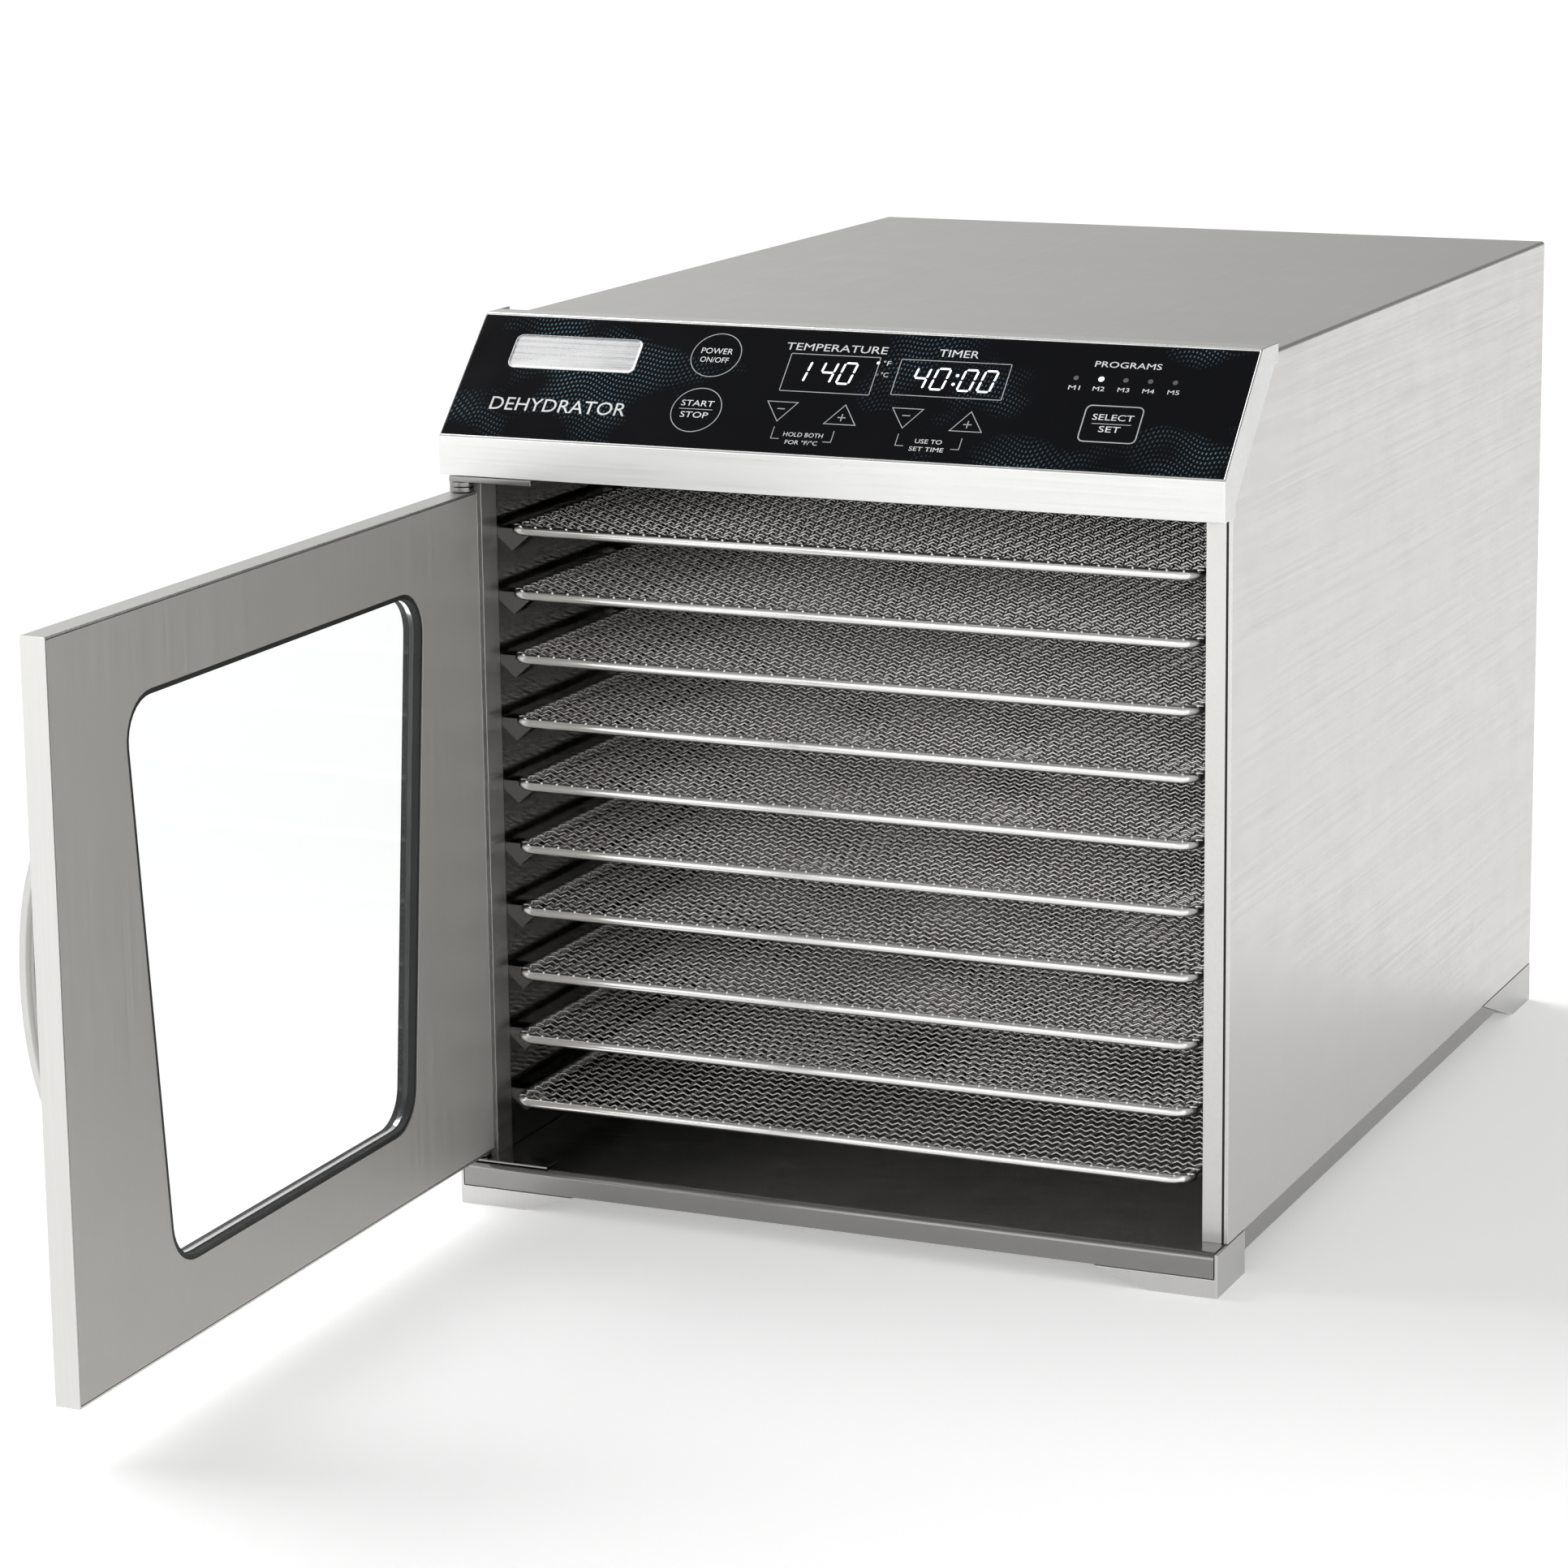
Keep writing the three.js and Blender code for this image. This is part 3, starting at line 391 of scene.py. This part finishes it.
steel_tone = (0.66, 0.652, 0.636)
FINISHES = {
    "shell_steel": brushed_steel("shell_steel", steel_tone, 0.36, "Y"),
    "hood_steel": brushed_steel("hood_steel", (0.72, 0.72, 0.715), 0.34, "X"),
    "foot_steel": brushed_steel("foot_steel", (0.60, 0.597, 0.588), 0.42, "Z"),
    "polished_steel": bright_metal("polished_steel", (0.28, 0.276, 0.27), 0.17),
    # Painted shade: the liner's colour is set much darker than its steel to stand for the cavity's shade, as
    # the cavity is lit only from the front; its mirror gloss is its own.
    "liner_steel": bright_metal("liner_steel", (0.24, 0.236, 0.23), 0.1),
    "door_steel": brushed_steel("door_steel", (0.68, 0.675, 0.66), 0.38, "Z"),
    "tray_wire": bright_metal("tray_wire", (0.92, 0.91, 0.895), 0.17, 500, 0.02),
    "panel_glass": black_panel(),
    "door_pane": clear_pane(),
    "seal_rubber": moulded("seal_rubber", (0.016, 0.016, 0.017), 0.55),
    "circuit_board": circuit_green(),
    "black_plastic": moulded("black_plastic", (0.02, 0.02, 0.021), 0.5),
    "heater_sheath": heated_sheath(),
}
white_ink = moulded("white_ink", (0.80, 0.81, 0.82), 0.5, 900, 0.05)
door_satin = brushed_steel("door_satin", (0.50, 0.488, 0.465), 0.5, "Z", metal=0.4)
handle_steel = bright_metal("handle_steel", (0.64, 0.635, 0.625), 0.2)
outline_ink = moulded("outline_ink", (0.46, 0.47, 0.48), 0.5, 900, 0.05)
badge_silver = brushed_steel("badge_silver", (0.62, 0.62, 0.63), 0.26, "X", 900)
lit_white = glowing("lit_white", (0.95, 0.97, 1.0), 1.1)
unlit_grey = moulded("unlit_grey", (0.10, 0.10, 0.11), 0.4)


# ------------------------------------------------------------ pieces made from the frame's own outlines

SAME_PLANE = math.radians(0.8)
SHARP_FOLD = math.radians(32)


def as_piece(bm, name, body, slot, finish=None):
    mesh = bpy.data.meshes.new(name)
    bm.to_mesh(mesh)
    bm.free()
    piece = bpy.data.objects.new(name, mesh)
    bpy.context.scene.collection.objects.link(piece)
    mesh.materials.append(finish or FINISHES[slot])
    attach(piece, body)
    return piece


def even_normals(piece, sharp_degrees):
    """Flat faces keep their own normal and the narrow rounded ones take the bend between them."""
    piece.data.shade_smooth()
    piece.data.set_sharp_from_angle(angle=math.radians(sharp_degrees))
    weigh = piece.modifiers.new("even", "WEIGHTED_NORMAL")
    weigh.keep_sharp = True
    weigh.weight = 80
    bpy.context.view_layer.update()
    seen = piece.evaluated_get(bpy.context.evaluated_depsgraph_get())
    finished = bpy.data.meshes.new_from_object(seen)
    piece.modifiers.remove(weigh)
    old = piece.data
    piece.data = finished
    bpy.data.meshes.remove(old)
    piece.data.name = piece.name


def merged_copy(node):
    bm = bmesh.new()
    bm.from_mesh(frame["nodes"][node].data)
    bmesh.ops.remove_doubles(bm, verts=bm.verts, dist=0.003 * MM)
    return bm


def whole_faces(node):
    """The node's shape with each flat or single-curved side as one face."""
    bm = merged_copy(node)
    bmesh.ops.dissolve_limit(bm, angle_limit=SAME_PLANE, verts=bm.verts, edges=bm.edges)
    return bm


def eased(node, radius, segments=2, finish=None, in_seam_shadow=None):
    """The node's own shape with its sharp edges rounded over and marked for a painted highlight, and its
    seam marked for a painted shadow.
    """
    bm = whole_faces(node)
    edge_highlight = bm.faces.layers.float.new("painted_edge_highlight")
    seam_shadow = bm.faces.layers.float.new("painted_seam_shadow")
    corners = [e for e in bm.edges if len(e.link_faces) == 2 and e.calc_face_angle() > SHARP_FOLD]
    made = bmesh.ops.bevel(
        bm, geom=corners, offset=radius * MM, offset_type="OFFSET", affect="EDGES",
        segments=segments, profile=0.5, material=-1, clamp_overlap=True,
    )
    # The rounded faces are marked for a painted highlight and a glossier finish.
    for face in made["faces"]:
        face[edge_highlight] = 1.0
    # Faces in the seam lose the painted highlight and get a painted shadow instead.
    for face in bm.faces if in_seam_shadow else ():
        if in_seam_shadow(face.calc_center_median()):
            face[edge_highlight], face[seam_shadow] = 0.0, 1.0
    bmesh.ops.recalc_face_normals(bm, faces=bm.faces)
    piece = as_piece(bm, node + "_finished", BODY_OF[node], SLOT_OF[node], finish)
    even_normals(piece, 50)
    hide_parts(node)


def rounded(node, finish=None):
    """A turned or bent piece, shaded smooth round its curves."""
    piece = as_piece(merged_copy(node), node + "_finished", BODY_OF[node], SLOT_OF[node], finish)
    piece.data.shade_smooth()
    piece.data.set_sharp_from_angle(angle=math.radians(48))
    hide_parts(node)


for name, node in frame["nodes"].items():
    for slot in node.material_slots:
        slot.material = FINISHES[SLOT_OF[name]]

shell_low, shell_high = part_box("outer_shell")


def in_shell_seam_shadow(place):
    """The narrow seam between the shell's side sheet and its folded front edge, where a shadow is painted.
    """
    from_side = min(place.x - shell_low.x, shell_high.x - place.x) / MM
    return 1.45 < from_side < 2.75 and place.y - shell_low.y < 1.0 * MM


eased("outer_shell", 0.12, 2, None, in_shell_seam_shadow)
eased("rear_cover", 0.25)
eased("control_hood", 0.4, 3)
eased("control_glass", 0.2)
for corner in ("front_left", "front_right", "rear_left", "rear_right"):
    eased("foot_" + corner, 0.35)
for node in ("base_pan", "header_rail", "motor_bracket", "hinge_plate_top", "hinge_plate_bottom"):
    eased(node, 0.25)
eased("door_outer_shell", 0.35, 3)
eased("door_inner_panel", 0.35, 3, door_satin)
eased("window_gasket", 0.5, 3)
eased("door_glass", 0.25)
eased("door_magnet", 0.5)
rounded("door_handle", handle_steel)
for node in ("fan_guard", "fan_motor", "heating_element", "temperature_sensor", "thermal_cutout"):
    rounded(node)
for node in ("fan_blade", "fan_shaft", "cord_gland", "hinge_pin_top", "hinge_pin_bottom"):
    rounded(node)
for node in ("hinge_washer_lower", "hinge_washer_upper", "hinge_washer_bottom"):
    eased(node, 0.2)


def rearmost(bm):
    return max(bm.faces, key=lambda face: face.calc_center_median().y)


def button_screw(node):
    """A button head with its rim rounded over and a round recess for the driver."""
    bm = whole_faces(node)
    bmesh.ops.bevel(
        bm, geom=list(rearmost(bm).edges), offset=0.7 * MM, offset_type="OFFSET", affect="EDGES",
        segments=4, profile=0.5, material=-1, clamp_overlap=True,
    )
    head = rearmost(bm)
    bmesh.ops.inset_region(bm, faces=[head], thickness=0.9 * MM)
    bmesh.ops.inset_region(bm, faces=[head], thickness=0.05 * MM, depth=-0.9 * MM)
    bmesh.ops.recalc_face_normals(bm, faces=bm.faces)
    finish = FINISHES["polished_steel"]
    piece = as_piece(bm, node + "_finished", BODY_OF[node], SLOT_OF[node], finish)
    even_normals(piece, 40)
    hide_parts(node)


for corner in ("lower_left", "lower_right", "upper_left", "upper_right"):
    button_screw("cover_screw_" + corner)

# ------------------------------------------------------------ woven trays

ROD = 2.15  # radius of the rim rod
CORNER = 8.0  # radius of its bends
ACROSS_PITCH = 7.2  # between the wires that run front to back
ALONG_PITCH = 6.9  # between the wires that run side to side
WIRE = 0.52  # radius of a woven wire
CRIMP = 0.64  # how far a wire bends above and below the mesh's middle
MESH_RISE = 1.6  # of the mesh's middle over the rod's
END_RISE = 0.45  # of a wire's flat ends, where they are welded over the rod
SIDE_ROOM = 3  # between a rod and the nearest wire beside it
TRAYS = 10


def ring_at(bm, radius, sides, place, facing):
    turn = {"X": Matrix.Rotation(math.pi / 2, 4, "Y"), "Y": Matrix.Rotation(math.pi / 2, 4, "X")}[facing]
    made = bmesh.ops.create_circle(
        bm, cap_ends=False, radius=radius, segments=sides, matrix=Matrix.Translation(place) @ turn
    )
    return list({e for v in made["verts"] for e in v.link_edges})


def drawn_on(bm, edges, step, times=1):
    """Carries a ring of edges along a straight line and leaves its tube behind."""
    made = bmesh.ops.spin(
        bm, geom=edges, cent=(0, 0, 0), axis=(0, 0, 1), dvec=step, angle=0, steps=times, use_duplicate=False
    )
    return [g for g in made["geom_last"] if isinstance(g, bmesh.types.BMEdge)]


def turned(bm, edges, centre, steps=5):
    made = bmesh.ops.spin(
        bm, geom=edges, cent=centre, axis=(0, 0, 1), dvec=(0, 0, 0), angle=math.pi / 2, steps=steps,
        use_duplicate=False,
    )
    return [g for g in made["geom_last"] if isinstance(g, bmesh.types.BMEdge)]


def rim_rod(bm, half_x, half_y):
    run_x, run_y = half_x - CORNER, half_y - CORNER
    edges = ring_at(bm, ROD, 12, (half_x, -run_y, 0), "Y")
    for centre, step in (
        ((run_x, run_y, 0), (0, 2 * run_y, 0)),
        ((-run_x, run_y, 0), (-2 * run_x, 0, 0)),
        ((-run_x, -run_y, 0), (0, -2 * run_y, 0)),
        ((run_x, -run_y, 0), (2 * run_x, 0, 0)),
    ):
        edges = turned(bm, drawn_on(bm, edges, step), centre)
    bmesh.ops.remove_doubles(bm, verts=bm.verts, dist=0.01)


def crimped_wire(facing, half_waves, step, place, sign):
    """One wire, crimped up and down along its run, its two ends laid flat on the rod."""
    bm = bmesh.new()
    reach = half_waves * step / 2
    axis = "XYZ".index(facing)
    start = [0.0, 0.0, 0.0]
    start[axis] = -reach
    ring = ring_at(bm, WIRE, 4, start, facing)
    bmesh.ops.contextual_create(bm, geom=ring)
    move = [0.0, 0.0, 0.0]
    move[axis] = step
    last = drawn_on(bm, ring, move, half_waves)
    bmesh.ops.contextual_create(bm, geom=last)
    for vert in bm.verts:
        count = round((vert.co[axis] + reach) / step)
        flat = count in (0, 1, half_waves - 1, half_waves)
        vert.co.z += MESH_RISE + (END_RISE if flat else sign * CRIMP * (-1) ** count)
    bmesh.ops.translate(bm, verts=bm.verts, vec=place)
    return bm


def add_copies(target, wire, step, times):
    """Lays copies of a wire side by side."""
    mesh = bpy.data.meshes.new("wire")
    wire.to_mesh(mesh)
    wire.free()
    old = set(target.verts)
    target.from_mesh(mesh)
    bpy.data.meshes.remove(mesh)
    fresh = [v for v in target.verts if v not in old]
    faces = {f for v in fresh for f in v.link_faces}
    edges = {e for v in fresh for e in v.link_edges}
    bmesh.ops.spin(
        target, geom=[*fresh, *edges, *faces], cent=(0, 0, 0), axis=(0, 0, 1), dvec=step,
        angle=0, steps=times, use_duplicate=True,
    )


def tray_mesh(half_x, half_y):
    """The rim and both sets of wires. A wire makes three half waves between two wires that it crosses."""
    bm = bmesh.new()
    rim_rod(bm, half_x, half_y)
    half_across, half_along = ACROSS_PITCH / 3, ALONG_PITCH / 3
    down_count = 2 * round((half_x - SIDE_ROOM) / ACROSS_PITCH)
    side_count = int((half_y - SIDE_ROOM) / ALONG_PITCH) * 2 + 1
    side_waves = 2 * round((half_x + 1.2) / half_across)
    down_waves = 2 * round((half_y + 0.9) / half_along)
    first_x = -(down_count - 1) / 2 * ACROSS_PITCH
    first_y = -(side_count - 1) / 2 * ALONG_PITCH
    for parity in (0, 1):
        sign = 1 if parity else -1
        place = (half_across / 2, first_y + parity * ALONG_PITCH, 0)
        wire = crimped_wire("X", side_waves, half_across, place, sign)
        add_copies(bm, wire, (0, 2 * ALONG_PITCH, 0), (side_count - 1 - parity) // 2)
        place = (first_x + parity * ACROSS_PITCH, 0, 0)
        wire = crimped_wire("Y", down_waves, half_along, place, -sign)
        add_copies(bm, wire, (2 * ACROSS_PITCH, 0, 0), (down_count - 1 - parity) // 2)
    bmesh.ops.recalc_face_normals(bm, faces=bm.faces)
    bmesh.ops.scale(bm, vec=(MM, MM, MM), verts=bm.verts)
    for face in bm.faces:
        face.smooth = True
    mesh = bpy.data.meshes.new("tray")
    bm.to_mesh(mesh)
    bm.free()
    return mesh


def lay_trays():
    low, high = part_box("tray_1")
    half_x = (high.x - low.x) / MM / 2 - ROD
    half_y = (high.y - low.y) / MM / 2 - ROD
    pattern = tray_mesh(half_x, half_y)
    for number in range(1, TRAYS + 1):
        node = f"tray_{number}"
        low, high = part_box(node)
        mesh = pattern.copy()
        middle = Vector(((low.x + high.x) / 2, (low.y + high.y) / 2, low.z + ROD * MM))
        mesh.transform(Matrix.Translation(middle))
        mesh.name = node + "_woven"
        piece = bpy.data.objects.new(node + "_woven", mesh)
        bpy.context.scene.collection.objects.link(piece)
        mesh.materials.append(FINISHES["tray_wire"])
        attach(piece, node)
        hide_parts(node)
    bpy.data.meshes.remove(pattern)


lay_trays()

# ------------------------------------------------------------ printed panel


GLASS_SET = 0.3  # how far the glass lies below the hood's slope
INK = 0.03  # thickness of the printing
LEAN = 0.16  # of the lit figures, sideways for each mm up


def on_panel(lift):
    """From the panel's own flat layout (across, up the slope) to the slope itself, lift above the glass."""
    foot = drawn(0, 0, hood_high.z / MM - PANEL_RISE)
    up = Vector((0, math.cos(SLOPE), math.sin(SLOPE)))
    out = Vector((0, -math.sin(SLOPE), math.cos(SLOPE)))
    turn = Matrix((Vector((1, 0, 0)), up, out)).transposed().to_4x4()
    return Matrix.Translation(foot + out * (lift - GLASS_SET) * MM) @ turn @ Matrix.Scale(MM, 4)


def print_on_panel(bm, name, finish, lift=0.04):
    """Gives a flat layout the thickness of its ink and lays it on the slope."""
    made = bmesh.ops.extrude_face_region(bm, geom=bm.faces[:])
    raised = [g for g in made["geom"] if isinstance(g, bmesh.types.BMVert)]
    bmesh.ops.translate(bm, verts=raised, vec=(0, 0, INK))
    bmesh.ops.recalc_face_normals(bm, faces=bm.faces)
    bm.transform(on_panel(lift))
    return as_piece(bm, name, "cabinet", "panel_glass", finish)


def outline(bm, points, width, closed=True):
    """A printed line through the points, with its corners mitred."""
    count = len(points)
    rims = []
    for i, point in enumerate(points):
        here = Vector(point)
        ways = []
        if closed or i:
            ways.append((here - Vector(points[i - 1])).normalized())
        if closed or i < count - 1:
            ways.append((Vector(points[(i + 1) % count]) - here).normalized())
        sides = [Vector((-w.y, w.x)) for w in ways]
        mitre = sum(sides, Vector((0, 0))).normalized()
        reach = width / 2 / max(0.3, mitre.dot(sides[0]))
        rims.append([bm.verts.new((*(here + mitre * reach * s), 0)) for s in (1, -1)])
    pairs = list(zip(rims, rims[1:] + rims[:1])) if closed else list(zip(rims, rims[1:]))
    for (a, b), (c, d) in pairs:
        bm.faces.new((a, b, d, c))


def arc(x, y, radius, start, end, steps):
    turns = [math.radians(start + (end - start) * i / steps) for i in range(steps + 1)]
    return [(x + radius * math.cos(t), y + radius * math.sin(t)) for t in turns]


def rounded_box(x0, y0, x1, y1, radius):
    corners = ((x1 - radius, y0 + radius, -90), (x1 - radius, y1 - radius, 0),
               (x0 + radius, y1 - radius, 90), (x0 + radius, y0 + radius, 180))
    return [p for x, y, a in corners for p in arc(x, y, radius, a, a + 90, 4)]


# words, left edge and foot on the panel's flat layout, width and height, in mm
LABELS = [
    ("DEHYDRATOR", -154.3, 15.0, 62.4, 6.6),
    ("POWER", -67.5, 49.0, 14.2, 2.9),
    ("ON/OFF", -66.8, 44.6, 12.8, 2.7),
    ("START", -68.2, 22.2, 14.6, 2.9),
    ("STOP", -67.0, 16.4, 12.4, 2.9),
    ("TEMPERATURE", -30.4, 53.0, 45.0, 3.6),
    ("TIMER", 37.2, 53.2, 17.4, 3.6),
    ("°F", 14.4, 47.4, 3.4, 2.4),
    ("°C", 14.8, 41.6, 3.4, 2.4),
    ("HOLD BOTH", -18.6, 9.8, 17.4, 2.1),
    ("FOR °F/°C", -16.8, 6.0, 14.2, 2.1),
    ("USE TO", 39.0, 10.0, 11.6, 2.1),
    ("SET TIME", 37.4, 6.2, 14.8, 2.1),
    ("PROGRAMS", 104.9, 52.0, 28.2, 2.9),
    ("SELECT", 110.4, 26.2, 17.4, 2.9),
    ("SET", 114.4, 20.4, 9.0, 2.9),
    ("M1", 96.5, 40.3, 4.9, 2.1),
    ("M2", 106.9, 40.3, 4.9, 2.1),
    ("M3", 117.4, 40.3, 4.9, 2.1),
    ("M4", 127.9, 40.3, 4.9, 2.1),
    ("M5", 138.4, 40.3, 4.9, 2.1),
]


def printed_words():
    bm = bmesh.new()
    for words, x, y, width, height in LABELS:
        letters = bpy.data.curves.new("letters", "FONT")
        letters.body = words
        letters.resolution_u = 3
        holder = bpy.data.objects.new("letters", letters)
        bpy.context.scene.collection.objects.link(holder)
        bpy.context.view_layer.update()
        mesh = bpy.data.meshes.new_from_object(holder.evaluated_get(bpy.context.evaluated_depsgraph_get()))
        bpy.data.objects.remove(holder)
        spots = [v.co for v in mesh.vertices]
        low = Vector((min(s.x for s in spots), min(s.y for s in spots), 0))
        high = Vector((max(s.x for s in spots), max(s.y for s in spots), 0))
        size = Matrix.Diagonal((width / (high.x - low.x), height / (high.y - low.y), 1, 1))
        mesh.transform(Matrix.Translation((x, y, 0)) @ size @ Matrix.Translation(-low))
        bm.from_mesh(mesh)
        bpy.data.meshes.remove(mesh)
    print_on_panel(bm, "panel_lettering", white_ink)


def printed_lines():
    bm = bmesh.new()
    thin = 0.36
    for x, y in ((-60.3, 48.3), (-60.6, 20.3)):
        outline(bm, arc(x, y, 11.0, 0, 360, 48)[:-1], thin)
    outline(bm, [(-68.4, 20.7), (-53.4, 20.7)], 0.3, False)
    outline(bm, rounded_box(-27.0, 32.3, 12.6, 51.2, 0.4), thin)
    outline(bm, rounded_box(21.9, 33.2, 69.9, 51.0, 0.4), thin)
    for x in (-23.4, 31.7):
        outline(bm, [(x - 6.9, 26.7), (x + 6.6, 26.7), (x, 17.0)], thin)
        outline(bm, [(x - 1.7, 23.2), (x + 1.7, 23.2)], 0.45, False)
    for x in (4.2, 59.0):
        outline(bm, [(x - 6.9, 17.0), (x + 6.9, 17.0), (x, 26.8)], thin)
        outline(bm, [(x - 1.8, 20.4), (x + 1.8, 20.4)], 0.45, False)
        outline(bm, [(x, 18.6), (x, 22.2)], 0.45, False)
    for x0, x1 in ((-23.6, 3.0), (31.0, 58.6)):
        outline(bm, [(x0, 14.2), (x0, 8.4), (x0 + 3.6, 8.4)], 0.32, False)
        outline(bm, [(x1 - 3.6, 8.0), (x1, 8.0), (x1, 13.6)], 0.32, False)
    outline(bm, rounded_box(106.8, 15.6, 131.0, 33.2, 2.4), 0.5)
    outline(bm, [(110.8, 24.4), (127.4, 24.4)], 0.3, False)
    print_on_panel(bm, "panel_outlines", outline_ink)


def disc(bm, x, y, radius, sides=20):
    bmesh.ops.create_circle(
        bm, cap_ends=True, radius=radius, segments=sides, matrix=Matrix.Translation((x, y, 0))
    )


def panel_lights():
    lit = bmesh.new()
    disc(lit, 109.3, 46.1, 1.25)
    disc(lit, 12.2, 48.5, 0.7, 12)
    print_on_panel(lit, "program_light_lit", lit_white, 0.06)
    unlit = bmesh.new()
    for x in (98.6, 119.7, 130.1, 140.5):
        disc(unlit, x, 46.1, 1.1)
    disc(unlit, 13.4, 42.6, 0.7, 12)
    print_on_panel(unlit, "program_lights_unlit", unlit_grey, 0.06)


# which of a figure's seven bars are lit, a at the top and on clockwise, g across the middle
BARS = {"0": "abcdef", "1": "bc", "4": "bcfg"}
FIGURE = (5.4, 10.4)  # width and height


def digit(bm, figure, x, y):
    """A seven-bar figure leaning to the right."""
    width, height = FIGURE
    half, thick, apart = height / 2, 0.92, 0.25
    ends = {
        "a": ((0, height), (width, height)), "g": ((0, half), (width, half)), "d": ((0, 0), (width, 0)),
        "f": ((0, half), (0, height)), "b": ((width, half), (width, height)),
        "e": ((0, 0), (0, half)), "c": ((width, 0), (width, half)),
    }
    for bar in BARS[figure]:
        start, end = (Vector(p) for p in ends[bar])
        way = (end - start).normalized()
        side = Vector((-way.y, way.x)) * thick / 2
        tip = way * thick / 2
        start, end = start + way * apart, end - way * apart
        ring = [start, start + tip + side, end - tip + side, end, end - tip - side, start + tip - side]
        bm.faces.new([bm.verts.new((x + p.x + p.y * LEAN, y + p.y, 0)) for p in ring])


def panel_digits():
    bm = bmesh.new()
    for figure, x in (("1", -23.6), ("4", -12.0), ("0", -3.4)):
        digit(bm, figure, x, 37.2)
    for figure, x in (("4", 29.0), ("0", 37.6), ("0", 49.6), ("0", 58.2)):
        digit(bm, figure, x, 36.8)
    for y in (39.8, 44.2):
        disc(bm, 46.9 + (y - 36.8) * LEAN, y, 0.75, 12)
    print_on_panel(bm, "panel_digits", lit_white, 0.06)


def uppermost(bm):
    return max((f for f in bm.faces if len(f.verts) > 4), key=lambda f: f.calc_center_median().z)


def blank_badge():
    """A plain silver plate in the maker's place, without any mark."""
    bm = bmesh.new()
    face = bm.faces.new([bm.verts.new((*p, 0)) for p in rounded_box(-153.4, 36.6, -94.4, 54.0, 3.2)])
    made = bmesh.ops.extrude_face_region(bm, geom=[face])
    raised = [g for g in made["geom"] if isinstance(g, bmesh.types.BMVert)]
    bmesh.ops.translate(bm, verts=raised, vec=(0, 0, 0.5))
    top = uppermost(bm)
    bmesh.ops.bevel(
        bm, geom=list(top.edges), offset=0.35, offset_type="OFFSET", affect="EDGES", segments=3, profile=0.5,
        material=-1, clamp_overlap=True,
    )
    top = uppermost(bm)
    bmesh.ops.inset_region(bm, faces=[top], thickness=1.1, depth=-0.22)
    bmesh.ops.recalc_face_normals(bm, faces=bm.faces)
    bm.transform(on_panel(0.03))
    badge = as_piece(bm, "blank_badge", "cabinet", "polished_steel", badge_silver)
    even_normals(badge, 40)


printed_words()
printed_lines()
panel_lights()
panel_digits()
blank_badge()
